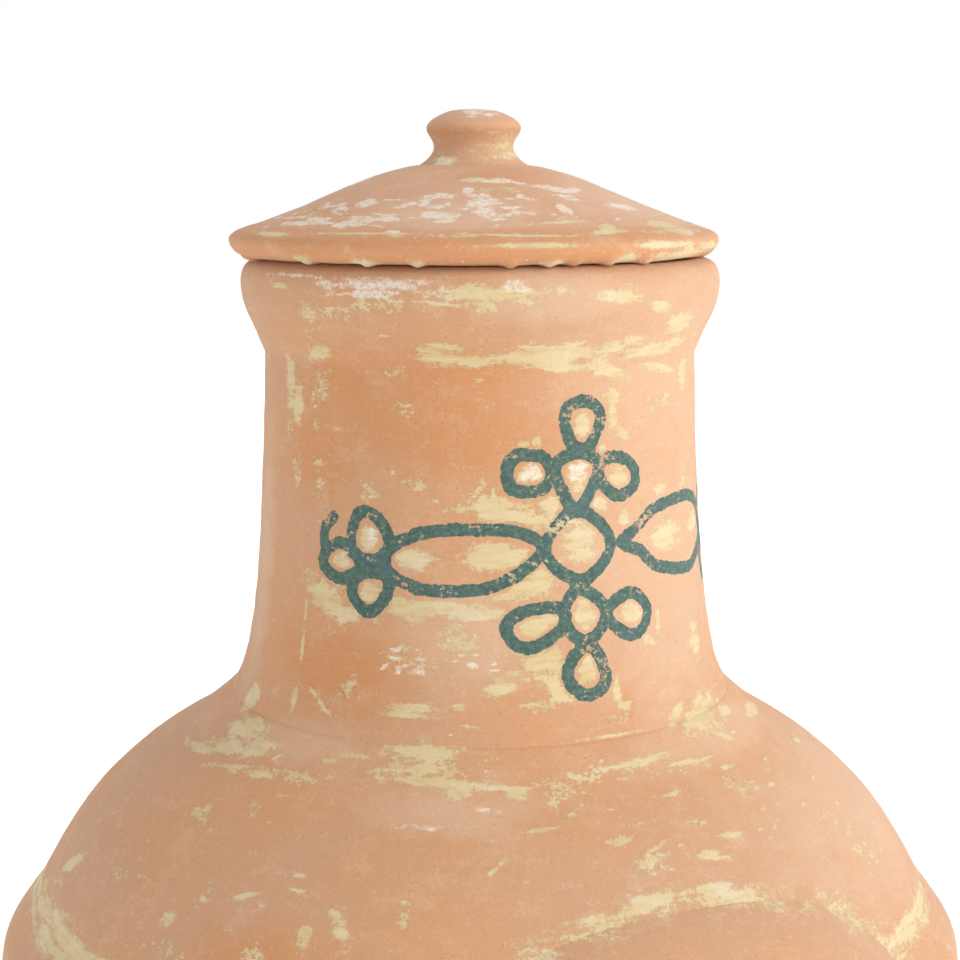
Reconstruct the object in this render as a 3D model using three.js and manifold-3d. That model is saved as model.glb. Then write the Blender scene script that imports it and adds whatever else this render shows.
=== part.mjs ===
// A terracotta chiminea: a clay garden stove with a round fire bowl, a chimney and a lift-off lid,
// standing in a three-legged iron stand. Millimetres, +Z up. The origin is on the ground under the
// chimney's axis, and the fire mouth faces -Y.

import * as THREE from 'three';
import { mergeVertices } from 'three/addons/utils/BufferGeometryUtils.js';
import Module from 'manifold-3d';

const wasm = await Module();
wasm.setup();

// Driving dimensions ------------------------------------------------------------------------------

const GAP = 0.3;                  // between pieces that touch
const TURNED_SIDES = 48;          // sides of the large thrown shapes
const SMALL_SIDES = 36;           // sides of the rings and the knob

// Clay body
const BELLY_RADIUS = 262;
const BELLY_EQUATOR_Z = 335;
const BELLY_DEPTH = 215;          // from the equator down to where the round bottom would close
const FOOT_Z = 128;               // the small flat that the bowl was thrown on
const LEDGE_RADIUS = 242;
const LEDGE_Z = 382;              // the bowl's band meets the dome in a crease here
const CHIMNEY_FOOT_RADIUS = 135;
const CHIMNEY_FOOT_Z = 490;
const COLLAR_CREASE_Z = 671;
const COLLAR_TOP_Z = 720.7;
const FLUE_RADIUS = 101;
const BELLY_WALL = 18;
const DOME_WALL = 17;
const CHIMNEY_WALL = 14;

// Fire mouth, drawn on the plane that faces the front
const MOUTH_CENTRE_X = 6;
const MOUTH_CENTRE_Z = 285;
const LIP_OUTLINE = { halfWidth: 150, up: 144, down: 102, power: 2.5 };
const OPENING_OUTLINE = { halfWidth: 106, up: 82, down: 72, power: 2.3 };
const LIP_STEPS = 44;
const LIP_ROLL_STEPS = 7;         // across the rolled face of the lip
const LIP_PROUD_TOP = 21;
const LIP_PROUD_BOTTOM = 36;      // the lower lip is a deeper shelf that catches embers
const LIP_ROLL_LEAN = 0.8;        // under 1, the roll is fullest nearer the belly than the opening
const PLUG_START_Y = -80;         // the plug that clears the lip's place starts inside the firebox

// Sand and grate
const SAND_TOP_Z = 200;
const GRATE_RADIUS = 80;          // to the middle of the ring's bar, small enough to pass the mouth
const GRATE_BAR = 8;
const GRATE_HEIGHT = 36;          // top of the sand to the underside of the ring
const GRATE_BAR_COUNT = 5;
const GRATE_BAR_PITCH = 27;
const GRATE_LEG_COUNT = 3;

// Lid, which sits slightly off the chimney's axis
const LID_OFFSET = new THREE.Vector2(-3.1, 1.4);
const LID_RADIUS = 129;
const LID_UNDERSIDE_Z = 721;
const LID_HOLLOW_RADIUS = 80;
const LID_HOLLOW_Z = 738;         // ceiling of the hollow at its wall, and below at its middle
const LID_HOLLOW_MIDDLE_Z = 750;
const LID_TOP_Z = 769;
const KNOB_TOP_Z = 798;
const KNOB_DIMPLE = 0.5;          // the knob's top is a little hollow
const SPIGOT_RADIUS = 94;
const SPIGOT_DEPTH = 18;

// Iron stand
const HOOP_INNER_RADIUS = 152.8;
const HOOP_THICKNESS = 5;
const HOOP_HEIGHT = 30;
const HOOP_TOP_Z = 160;
const LEG_COUNT = 3;
const LEG_WIDTH = 25;
const LEG_THICKNESS = 6;
const LEG_STEPS = 18;
const LEG_BEND_START_Z = 118;     // the leg's curve leaves the upright here,
const LEG_BEND_PULL_Z = 75;       // is pulled down to here,
const LEG_SWEEP_RADIUS = 186;     // then out from here
const LEG_SOLE_RADIUS = 232;      // and lies flat from here on
const FOOT_RADIUS = 20;
const FOOT_THICKNESS = 5;
const STAND_REACH = 258;          // from the axis to the outer edge of a foot
const TIE_RING_Z = 70;
const TIE_RING_BAR = 10;
const BOLT_RADIUS = 3;
const BOLT_HOLE_RADIUS = 3.4;
const BOLT_HEAD_ACROSS_CORNERS = 11.5;
const BOLT_HEAD_HEIGHT = 4;
const BOLT_SPACING = 12;
const BOLT_DROP = 11;             // the upper bolt's middle below the hoop's top edge, clear of the bowl
const NUT_HEIGHT = 5;
const BOLT_TAIL = 2;              // thread that shows beyond the nut
const DRILL_LENGTH = 100;         // long enough to go right through a hoop, leg or nut

// Materials ---------------------------------------------------------------------------------------

const finish = (name, colour, roughness, metalness = 0) =>
  Object.assign(new THREE.MeshStandardMaterial({ color: colour, roughness, metalness }), { name });

const TERRACOTTA = finish('terracotta', '#dba67c', 0.85);
const LID_CLAY = finish('lid_clay', '#d99f75', 0.82);
const SAND = finish('sand', '#cdb388', 0.95);
const WROUGHT_IRON = finish('wrought_iron', '#26241f', 0.6, 0.8);
const GRATE_IRON = finish('grate_iron', '#3a3634', 0.7, 0.8);
const FASTENER = finish('fastener', '#4a4743', 0.45, 0.9);

// Helpers -----------------------------------------------------------------------------------------

const chiminea = new THREE.Group();
const point = (x, y) => new THREE.Vector2(x, y);

function add(name, geometry, material, parent = chiminea) {
  const mesh = new THREE.Mesh(geometry, material.clone());
  mesh.name = name;
  parent.add(mesh);
  return mesh;
}

// A smooth curve through a few (radius, height) points.
function curveThrough(points, steps) {
  return new THREE.SplineCurve(points).getPoints(steps);
}

// The line's direction at each of its points.
function directions(line) {
  return line.map((_, i) => {
    const before = line[Math.max(i - 1, 0)];
    const after = line[Math.min(i + 1, line.length - 1)];
    return after.clone().sub(before).normalize();
  });
}

// The same line moved to its left by a distance.
function beside(line, distance) {
  const along = directions(line);
  return line.map((here, i) => point(here.x - distance * along[i].y, here.y + distance * along[i].x));
}

// A rising outline moved towards the axis by a wall's thickness. Its two ends stay at their heights.
function insideOf(outline, wall) {
  const along = directions(outline);
  const inner = beside(outline, wall);
  for (const end of [0, outline.length - 1]) {
    inner[end] = point(outline[end].x - wall / Math.abs(along[end].y), outline[end].y);
  }
  return inner;
}

// Turns a (radius, height) outline about +Z. The outline runs anticlockwise seen with +Z up.
function turned(outline, sides = TURNED_SIDES) {
  return new THREE.LatheGeometry(outline, sides).rotateX(Math.PI / 2);
}

// A ring whose section is a closed outline.
function turnedRing(section, sides = SMALL_SIDES) {
  return turned([...section, section[0].clone()], sides);
}

function roundBarRing(radius, bar, z, sides = SMALL_SIDES, barSides = 8) {
  const section = [];
  for (let i = 0; i < barSides; i += 1) {
    const angle = (2 * Math.PI * i) / barSides;
    section.push(point(radius + (bar / 2) * Math.cos(angle), z + (bar / 2) * Math.sin(angle)));
  }
  return turnedRing(section, sides);
}

function disc(radius, bottom, top, sides = 24) {
  return new THREE.CylinderGeometry(radius, radius, top - bottom, sides)
    .rotateX(Math.PI / 2)
    .translate(0, 0, (top + bottom) / 2);
}

function toSolid(geometry) {
  const bare = geometry.clone();
  bare.deleteAttribute('normal');
  bare.deleteAttribute('uv');
  const merged = mergeVertices(bare, 1e-4);
  return new wasm.Manifold(new wasm.Mesh({
    numProp: 3,
    vertProperties: new Float32Array(merged.attributes.position.array),
    triVerts: new Uint32Array(merged.index.array),
  }));
}

function toGeometry(solid) {
  const mesh = solid.getMesh();
  const geometry = new THREE.BufferGeometry();
  geometry.setAttribute('position', new THREE.BufferAttribute(mesh.vertProperties.slice(), 3));
  geometry.setIndex(new THREE.BufferAttribute(mesh.triVerts.slice(), 1));
  geometry.computeVertexNormals();
  return geometry;
}

function cut(geometry, ...tools) {
  return toGeometry(tools.reduce((solid, tool) => solid.subtract(toSolid(tool)), toSolid(geometry)));
}

// Clay body ---------------------------------------------------------------------------------------

const bowlRadiusAt = (z) =>
  BELLY_RADIUS * Math.sqrt(1 - ((BELLY_EQUATOR_Z - z) / BELLY_DEPTH) ** 2);

// Round bottom from the flat foot up to the equator, in even steps of angle.
function bowlBottomOutline(steps) {
  const lowest = Math.asin((BELLY_EQUATOR_Z - FOOT_Z) / BELLY_DEPTH);
  const outline = [];
  for (let i = 0; i <= steps; i += 1) {
    const angle = lowest * (1 - i / steps);
    outline.push(point(BELLY_RADIUS * Math.cos(angle), BELLY_EQUATOR_Z - BELLY_DEPTH * Math.sin(angle)));
  }
  return outline;
}

// The band that rolls in from the equator to the ledge.
const bandOutline = curveThrough([
  point(BELLY_RADIUS, BELLY_EQUATOR_Z),
  point(260, 356),
  point(252, 369.5),
  point(LEDGE_RADIUS, LEDGE_Z - GAP),
], 4);

const domeOutline = curveThrough([
  point(LEDGE_RADIUS, LEDGE_Z),
  point(230, 404.7),
  point(212, 429.5),
  point(185, 453.2),
  point(155, 472.7),
  point(CHIMNEY_FOOT_RADIUS, CHIMNEY_FOOT_Z - GAP),
], 8);

const bowlOutline = [...bowlBottomOutline(8), ...bandOutline.slice(1)];

function outerRadiusAt(z) {
  if (z <= BELLY_EQUATOR_Z) return bowlRadiusAt(z);
  const outline = [...bandOutline, ...domeOutline];
  const i = outline.findIndex((p) => p.y >= z);
  const [low, high] = [outline[i - 1], outline[i]];
  return THREE.MathUtils.mapLinear(z, low.y, high.y, low.x, high.x);
}

// Corner-rounded oval on the front plane, as (x, z), at an angle from +X.
function mouthOutlinePoint(outline, angle, grow = 0) {
  const [c, s] = [Math.cos(angle), Math.sin(angle)];
  const rounding = 2 / outline.power;
  const height = (s >= 0 ? outline.up : outline.down) + grow;
  return point(
    MOUTH_CENTRE_X + (outline.halfWidth + grow) * Math.sign(c) * Math.abs(c) ** rounding,
    MOUTH_CENTRE_Z + height * Math.sign(s) * Math.abs(s) ** rounding,
  );
}

const lipAngles = Array.from({ length: LIP_STEPS }, (_, i) => (2 * Math.PI * (i + 0.5)) / LIP_STEPS);

// The straight-sided plug that makes room for the lip in the belly's front wall.
function lipPlug() {
  const shape = new THREE.Shape(lipAngles.map((angle) => mouthOutlinePoint(LIP_OUTLINE, angle, GAP)));
  return new THREE.ExtrudeGeometry(shape, { depth: BELLY_RADIUS, bevelEnabled: false, curveSegments: 1 })
    .rotateX(Math.PI / 2)
    .translate(0, PLUG_START_Y, 0);
}

function fireBowl() {
  const inner = insideOf(bowlOutline, BELLY_WALL).slice(1).reverse();
  const floorZ = FOOT_Z + BELLY_WALL;
  const outline = [point(0, FOOT_Z), ...bowlOutline, ...inner, point(0, floorZ)];
  return cut(turned(outline), lipPlug());
}

function bellyDome() {
  const section = [...domeOutline, ...insideOf(domeOutline, DOME_WALL).reverse()];
  return cut(turnedRing(section, TURNED_SIDES), lipPlug());
}

// How far in front of the axis the belly's face is, at a point (x, z) of the front plane.
const bellyDepthAt = (at) => Math.sqrt(outerRadiusAt(at.y) ** 2 - at.x ** 2);

// One section of the lip: from the crease on the belly it rolls out and over to the opening's edge,
// turns in through the wall and goes straight back along the inside of the belly.
function lipSection(angle) {
  const crease = mouthOutlinePoint(LIP_OUTLINE, angle);
  const edge = mouthOutlinePoint(OPENING_OUTLINE, angle);
  const bottomShare = (1 - Math.sin(angle)) / 2;
  const proud = THREE.MathUtils.lerp(LIP_PROUD_TOP, LIP_PROUD_BOTTOM, bottomShare);
  const place = (across, outward) => {
    const at = crease.clone().lerp(edge, across);
    const depth = THREE.MathUtils.lerp(bellyDepthAt(crease), bellyDepthAt(edge), across);
    return new THREE.Vector3(at.x, -(depth + outward), at.y);
  };
  const roll = Array.from({ length: LIP_ROLL_STEPS + 1 }, (_, i) => {
    const across = i / LIP_ROLL_STEPS;
    return place(across, proud * Math.sin(Math.PI * across ** LIP_ROLL_LEAN));
  });
  return [...roll, place(1, -BELLY_WALL), place(0.5, -BELLY_WALL), place(0, -BELLY_WALL)];
}

// Closed sections joined one to the next, all the way round.
function sweptRing(sections) {
  const length = sections[0].length;
  const index = [];
  sections.forEach((_, i) => {
    for (let j = 0; j < length; j += 1) {
      const [row, nextRow] = [i * length, ((i + 1) % sections.length) * length];
      const nextJ = (j + 1) % length;
      index.push(row + j, nextRow + j, nextRow + nextJ, row + j, nextRow + nextJ, row + nextJ);
    }
  });
  const geometry = new THREE.BufferGeometry().setFromPoints(sections.flat());
  geometry.setIndex(index);
  geometry.computeVertexNormals();
  return geometry;
}

const mouthLip = () => sweptRing(lipAngles.map(lipSection));

function chimneyNeck() {
  const shaft = curveThrough([
    point(CHIMNEY_FOOT_RADIUS, CHIMNEY_FOOT_Z),
    point(127.5, 508),
    point(121, 548),
    point(116.4, 613),
    point(114.4, COLLAR_CREASE_Z),
  ], 7);
  const collar = curveThrough([
    point(114.4, COLLAR_CREASE_Z),
    point(119.4, 683.4),
    point(124.9, 696.2),
    point(126.7, 708.8),
    point(124, 717),
    point(117, COLLAR_TOP_Z),
  ], 7);
  const bore = [
    point(FLUE_RADIUS + 5, COLLAR_TOP_Z),
    point(FLUE_RADIUS, COLLAR_TOP_Z - 6),
    ...insideOf(shaft, CHIMNEY_WALL).slice(0, -1).reverse(),
  ];
  return turnedRing([...shaft, ...collar.slice(1), ...bore], TURNED_SIDES);
}

function sandBed() {
  const inside = insideOf(bowlOutline, BELLY_WALL + GAP).filter((p) => p.y < SAND_TOP_Z);
  const last = inside[inside.length - 1];
  const edge = point(last.x, SAND_TOP_Z);
  return turned([
    point(0, FOOT_Z + BELLY_WALL + GAP), ...inside.slice(1), edge, point(0, SAND_TOP_Z),
  ], SMALL_SIDES);
}

add('fire_bowl', fireBowl(), TERRACOTTA);
add('belly_dome', bellyDome(), TERRACOTTA);
add('mouth_lip', mouthLip(), TERRACOTTA);
add('chimney_neck', chimneyNeck(), TERRACOTTA);
add('sand_bed', sandBed(), SAND);

// Lid ---------------------------------------------------------------------------------------------

const lid = new THREE.Group();
lid.position.set(LID_OFFSET.x, LID_OFFSET.y, 0);
chiminea.add(lid);

function lidDisc() {
  const rim = [point(121, LID_UNDERSIDE_Z), point(127.6, 727), point(LID_RADIUS, 730.5)];
  const cone = curveThrough([
    point(124, 734), point(93.6, 746.2), point(64, 758.6), point(46.3, 765), point(27, LID_TOP_Z),
  ], 6);
  return turned([
    point(0, LID_HOLLOW_MIDDLE_Z),
    point(LID_HOLLOW_RADIUS, LID_HOLLOW_Z),
    point(LID_HOLLOW_RADIUS, LID_UNDERSIDE_Z),
    ...rim, ...cone, point(0, LID_TOP_Z),
  ]);
}

function lidKnob() {
  const outline = curveThrough([
    point(26.4, LID_TOP_Z + GAP), point(22, 777.4), point(23.5, 783.6),
    point(24.7, 790), point(21, 796.5), point(10, KNOB_TOP_Z),
  ], 11);
  return turned([
    point(0, LID_TOP_Z + GAP), ...outline, point(0, KNOB_TOP_Z - KNOB_DIMPLE),
  ], SMALL_SIDES);
}

function lidSpigot() {
  const top = LID_UNDERSIDE_Z - GAP;
  const bottom = LID_UNDERSIDE_Z - SPIGOT_DEPTH;
  const inner = LID_HOLLOW_RADIUS;
  return turnedRing([
    point(inner + 2, bottom), point(SPIGOT_RADIUS - 2, bottom), point(SPIGOT_RADIUS, bottom + 3),
    point(SPIGOT_RADIUS, top), point(inner, top), point(inner, bottom + 3),
  ]);
}

add('lid_disc', lidDisc(), LID_CLAY, lid);
add('lid_knob', lidKnob(), LID_CLAY, lid);
add('lid_spigot', lidSpigot(), LID_CLAY, lid);

// Fire grate --------------------------------------------------------------------------------------

const grateRingZ = SAND_TOP_Z + GRATE_HEIGHT + GRATE_BAR / 2;

add('grate_ring', roundBarRing(GRATE_RADIUS, GRATE_BAR, grateRingZ), GRATE_IRON);

for (let i = 0; i < GRATE_BAR_COUNT; i += 1) {
  const x = (i - (GRATE_BAR_COUNT - 1) / 2) * GRATE_BAR_PITCH;
  const length = 2 * Math.sqrt(GRATE_RADIUS ** 2 - x ** 2);
  const bar = new THREE.CylinderGeometry(GRATE_BAR / 2, GRATE_BAR / 2, length, 8)
    .translate(x, 0, grateRingZ + GRATE_BAR + GAP);
  add(`grate_bar_${i + 1}`, bar, GRATE_IRON);
}

for (let i = 0; i < GRATE_LEG_COUNT; i += 1) {
  const angle = Math.PI / 2 + (2 * Math.PI * i) / GRATE_LEG_COUNT;
  const leg = disc(GRATE_BAR / 2, SAND_TOP_Z + GAP, grateRingZ - GRATE_BAR / 2 - GAP, 8)
    .translate(GRATE_RADIUS * Math.cos(angle), GRATE_RADIUS * Math.sin(angle), 0);
  add(`grate_leg_${i + 1}`, leg, GRATE_IRON);
}

// Iron stand --------------------------------------------------------------------------------------

const hoopOuterRadius = HOOP_INNER_RADIUS + HOOP_THICKNESS;
const legInnerRadius = hoopOuterRadius + GAP;
const legOuterRadius = legInnerRadius + LEG_THICKNESS;
const boltHeights = [HOOP_TOP_Z - BOLT_DROP, HOOP_TOP_Z - BOLT_DROP - BOLT_SPACING];
// One leg is at the back, so the two front ones stand either side of the mouth.
const legAngles = Array.from({ length: LEG_COUNT }, (_, i) => Math.PI / 2 + (2 * Math.PI * i) / LEG_COUNT);

// A thing made along +X, pointing away from the axis, turned to one of the legs.
const facing = (geometry, angle) => geometry.rotateZ(angle);

function boltHole(z) {
  return new THREE.CylinderGeometry(BOLT_HOLE_RADIUS, BOLT_HOLE_RADIUS, DRILL_LENGTH, 12)
    .rotateZ(Math.PI / 2)
    .translate(hoopOuterRadius, 0, z);
}

function hoop() {
  const bottom = HOOP_TOP_Z - HOOP_HEIGHT;
  const section = [
    point(HOOP_INNER_RADIUS, bottom), point(hoopOuterRadius, bottom),
    point(hoopOuterRadius, HOOP_TOP_Z), point(HOOP_INNER_RADIUS, HOOP_TOP_Z),
  ];
  const holes = legAngles.flatMap((angle) => boltHeights.map((z) => facing(boltHole(z), angle)));
  return cut(turnedRing(section, TURNED_SIDES), ...holes);
}

// The middle line of a leg's flat bar, in (radius, height): down the hoop, out in a curve, flat at the foot.
function legLine() {
  const middle = legInnerRadius + LEG_THICKNESS / 2;
  const soleZ = FOOT_THICKNESS + GAP + LEG_THICKNESS / 2;
  return [
    point(middle, HOOP_TOP_Z),
    point(middle, HOOP_TOP_Z - HOOP_HEIGHT),
    ...new THREE.CubicBezierCurve(
      point(middle, LEG_BEND_START_Z), point(middle, LEG_BEND_PULL_Z),
      point(LEG_SWEEP_RADIUS, soleZ), point(LEG_SOLE_RADIUS, soleZ),
    ).getPoints(LEG_STEPS),
    point(STAND_REACH - FOOT_RADIUS / 2, soleZ),
  ];
}

// The bar's two faces follow the middle line at half its thickness, so the outline is one closed strap.
function legStrap() {
  const faces = [LEG_THICKNESS / 2, -LEG_THICKNESS / 2].map((distance) => beside(legLine(), distance));
  const shape = new THREE.Shape([...faces[0], ...faces[1].reverse()]);
  const strap = new THREE.ExtrudeGeometry(shape, { depth: LEG_WIDTH, bevelEnabled: false, curveSegments: 1 })
    .rotateX(Math.PI / 2)
    .translate(0, LEG_WIDTH / 2, 0);
  return cut(strap, ...boltHeights.map(boltHole));
}

function tieRing() {
  const line = legLine();
  const i = line.findIndex((p) => p.y <= TIE_RING_Z);
  const [above, below] = [line[i - 1], line[i]];
  const legAt = THREE.MathUtils.mapLinear(TIE_RING_Z, above.y, below.y, above.x, below.x);
  const slant = above.distanceTo(below) / (above.y - below.y);
  const radius = legAt - slant * (LEG_THICKNESS / 2 + GAP + TIE_RING_BAR / 2);
  return roundBarRing(radius, TIE_RING_BAR, TIE_RING_Z, TURNED_SIDES);
}

function hexagon(acrossCorners, height) {
  return new THREE.CylinderGeometry(acrossCorners / 2, acrossCorners / 2, height, 6).rotateZ(Math.PI / 2);
}

// The head is inside the hoop and the threaded end is outside the leg.
function bolt(z) {
  const headInner = HOOP_INNER_RADIUS - 1 - BOLT_HEAD_HEIGHT;
  const shankEnd = legOuterRadius + GAP + NUT_HEIGHT + BOLT_TAIL;
  const shankStart = headInner + BOLT_HEAD_HEIGHT / 2;
  const length = shankEnd - shankStart;
  const head = hexagon(BOLT_HEAD_ACROSS_CORNERS, BOLT_HEAD_HEIGHT)
    .translate(headInner + BOLT_HEAD_HEIGHT / 2, 0, z);
  const shank = new THREE.CylinderGeometry(BOLT_RADIUS, BOLT_RADIUS, length, 12)
    .rotateZ(Math.PI / 2)
    .translate(shankStart + length / 2, 0, z);
  return toGeometry(toSolid(head).add(toSolid(shank)));
}

function nut(z) {
  const blank = hexagon(BOLT_HEAD_ACROSS_CORNERS, NUT_HEIGHT)
    .translate(legOuterRadius + GAP + NUT_HEIGHT / 2, 0, z);
  return cut(blank, boltHole(z));
}

add('stand_hoop', hoop(), WROUGHT_IRON);
add('stand_tie_ring', tieRing(), WROUGHT_IRON);

legAngles.forEach((angle, leg) => {
  const foot = disc(FOOT_RADIUS, 0, FOOT_THICKNESS).translate(STAND_REACH - FOOT_RADIUS, 0, 0);
  add(`stand_leg_${leg + 1}`, facing(legStrap(), angle), WROUGHT_IRON);
  add(`stand_foot_${leg + 1}`, facing(foot, angle), WROUGHT_IRON);
  boltHeights.forEach((z, i) => {
    const number = leg * boltHeights.length + i + 1;
    add(`stand_bolt_${number}`, facing(bolt(z), angle), FASTENER);
    add(`stand_nut_${number}`, facing(nut(z), angle), FASTENER);
  });
});

export default chiminea;
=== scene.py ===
# The looks of a terracotta chiminea: a thrown clay belly and chimney with a brushed loop motif and worn
# straw-yellow smears, a loose lid, a grate on sand inside, and a three-legged iron stand.
# Sizes are in millimetres and angles in degrees; the mesh builders turn them into metres and radians.
# An azimuth of 0 is the front, where the fire mouth is (-Y), and positive azimuths turn towards +X.
import itertools
import math

import bpy
import numpy as np
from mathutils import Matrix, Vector


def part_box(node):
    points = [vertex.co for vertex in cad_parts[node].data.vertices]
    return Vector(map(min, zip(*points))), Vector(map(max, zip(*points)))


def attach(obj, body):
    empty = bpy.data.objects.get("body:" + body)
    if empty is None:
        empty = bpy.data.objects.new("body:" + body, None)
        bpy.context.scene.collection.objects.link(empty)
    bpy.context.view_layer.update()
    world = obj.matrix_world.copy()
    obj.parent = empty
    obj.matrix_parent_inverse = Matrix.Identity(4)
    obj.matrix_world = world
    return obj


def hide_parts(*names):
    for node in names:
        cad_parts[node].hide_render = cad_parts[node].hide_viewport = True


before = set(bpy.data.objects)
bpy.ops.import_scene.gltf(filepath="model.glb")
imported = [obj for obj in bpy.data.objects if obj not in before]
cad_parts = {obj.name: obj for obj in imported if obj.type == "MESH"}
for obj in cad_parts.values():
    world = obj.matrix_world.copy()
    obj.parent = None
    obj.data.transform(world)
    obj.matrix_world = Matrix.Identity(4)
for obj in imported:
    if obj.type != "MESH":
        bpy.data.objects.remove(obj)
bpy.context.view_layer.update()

MM = 0.001
# How much brighter than its own value a colour looks in this light.
LIGHT_GAIN = 1.17
# Edges that turn by more than this are drawn crisp.
SHARP_ANGLE = 42
# An ink value for places far from every brush stroke.
NO_INK = 99.0


def low(node):
    """Lowest corner of a CAD node, in mm."""
    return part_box(node)[0] / MM


def high(node):
    """Highest corner of a CAD node, in mm."""
    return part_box(node)[1] / MM


# Sizes -------------------------------------------------------------------------------------------

FOOT_Z = low("fire_bowl").z
LEDGE_Z = low("belly_dome").z
SEAM_Z = low("chimney_neck").z
COLLAR_TOP_Z = high("chimney_neck").z
BELLY_RADIUS = high("fire_bowl").x
BELLY_EQUATOR_Z = 335
BELLY_DEPTH = 215
BOWL_FLAT_RADIUS = 36
BELLY_WALL = 18
DOME_WALL = 17
CHIMNEY_WALL = 14

BAND = [(262, 335), (260, 356), (252, 369.5), (242.6, LEDGE_Z)]
DOME = [(242.6, LEDGE_Z), (230, 404.7), (212, 429.5), (185, 453.2), (155, 472.7), (135, SEAM_Z)]
SHAFT = [(135, SEAM_Z), (127.5, 508), (121, 548), (116.4, 613), (114.4, 671)]
COLLAR = [(114.4, 671), (119.4, 683.4), (124.9, 696.2), (126.7, 708.8), (124, 717), (117, COLLAR_TOP_Z)]

CHIMNEY_MOUTH = [(117, COLLAR_TOP_Z), (105, COLLAR_TOP_Z), (101, COLLAR_TOP_Z - 5)]
# The stretch of the seam at the chimney's foot that gapes: its middle and half its width, as azimuths.
OPEN_SEAM = (-56, 12)

LID_CENTRE = ((low("lid_disc") + high("lid_disc")) / 2).xy
LID_BOTTOM_Z = low("lid_disc").z
LID_TOP_Z = high("lid_disc").z
LID_UNDERSIDE = [(0, 750), (40, 745), (80, 738), (80, LID_BOTTOM_Z), (98, LID_BOTTOM_Z)]
LID_SEAT = [(98, LID_BOTTOM_Z), (116, LID_BOTTOM_Z)]
LID_RIM = [(116, LID_BOTTOM_Z), (123.5, 722.6), (127.7, 726.4), (128.8, 730.8), (125.4, 734.2), (118, 736.8)]
LID_CONE = [(118, 736.8), (93.6, 746.2), (64, 758.6), (46.3, 765), (27, LID_TOP_Z), (0, LID_TOP_Z)]
KNOB = [(31, 767), (24.4, 771.6), (21.2, 776.2), (21.4, 780.4), (24.5, 786.2), (24.3, 789.4), (20.6, 792.9),
        (12, 796.6), (0, 797.8)]

# Heights on the knob where its washes of slip begin, lie or end.
KNOB_FOOT_Z = 772
KNOB_STEM_Z = 778
KNOB_BULGE_Z = 786.5
KNOB_CROWN_Z = 791

LIP_ROUNDING = 2.5
OPENING_ROUNDING = 2.3
OPENING = {"half_width": 106, "up": 82, "down": 72}
LIP_HEIGHT_BELOW_CENTRE = 102
LIP_PROUD_TOP = 21
LIP_PROUD_BOTTOM = 36
LIP_ROLL_LEAN = 0.8
LIP_ROWS = 56
# Front and back of the plug that cuts the lip's place out of the belly.
PLUG_Y = (-BELLY_RADIUS - 60, -100)

SAND_Z = high("sand_bed").z
SOLE_Z = high("stand_foot_1").z
HOOP_THICKNESS = 5
LEG_WIDTH = high("stand_leg_1").x - low("stand_leg_1").x
LEG_THICKNESS = 6
LEG_BEND = {"start_z": 118, "pull_z": 75, "sweep_radius": 186, "sole_radius": 232}
# Pieces that rest on each other in the CAD are this far apart.
FIT_GAP = 0.3

# Vertices round each piece.
COLUMNS = {
    "chimney_neck": 560, "belly_dome": 860, "fire_bowl": 640, "mouth_lip": 420, "lip_plug": 240,
    "lid_disc": 620, "lid_knob": 220, "lid_spigot": 200, "sand_bed": 300, "grate_ring": 160,
    "stand_ring": 300, "stand_foot": 72,
}

# Brushed motif: loops of (distance round the shaft from the front, height), and its stroke width.
MOTIF_RADIUS = 117
MOTIF_REACH = 160
MOTIF_HEIGHTS = (495, 670)
STROKE_WIDTH = 6.4
MOTIF_LOOPS = [
    # upper cross: top, left, right and the teardrop between them
    [(2, 655), (-6, 652), (-7, 644), (-3, 634), (5, 632), (11, 640), (13, 648), (8, 654)],
    [(-14, 620), (-18, 628), (-26, 630), (-34, 629), (-37, 622), (-35, 614), (-27, 612), (-18, 614)],
    [(11, 622), (16, 626), (25, 626), (34, 620), (34, 611), (24, 607), (15, 612)],
    [(1, 630), (-10, 627), (-13, 621), (-7, 608), (-1, 601), (4, 607), (11, 619), (10, 626)],
    # middle round and the two long lenses
    [(-1, 602), (-12, 595), (-18, 585), (-14, 575), (0, 567), (11, 573), (18, 584), (11, 595)],
    [(-19, 585), (-30, 592), (-47, 594), (-72, 593), (-86, 589), (-96, 582), (-96, 572), (-81, 565),
     (-64, 564), (-48, 565), (-36, 570), (-26, 576)],
    [(24, 584), (34, 589), (46, 597), (64, 600), (84, 600), (103, 593), (110, 577), (94, 566),
     (79, 563), (49, 569), (37, 578)],
    # lower cross
    [(0, 563), (-8, 556), (-8, 545), (1, 537), (11, 543), (13, 553)],
    [(-10, 554), (-21, 555), (-31, 553), (-38, 547), (-34, 538), (-25, 536), (-17, 540), (-9, 546)],
    [(14, 550), (21, 556), (31, 558), (40, 549), (37, 540), (28, 537), (18, 543)],
    [(3, 535), (-7, 528), (-8, 518), (0, 511), (10, 515), (10, 525)],
]
# Trefoil at the outer end of a lens, as distances outward from the front.
TREFOIL = [
    [(116, 580), (116, 591), (112, 600), (104, 599), (97, 592), (95, 584), (103, 577)],
    [(116, 581), (121, 584), (132, 579), (134, 571), (123, 566), (113, 570), (111, 576)],
    [(113, 567), (115, 559), (105, 551), (96, 560), (96, 569), (105, 571)],
]
RIGHT_TREFOIL_SHIFT = 12
STRAY_STROKE = [(-133, 580), (-134, 589), (-128, 596)]
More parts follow.
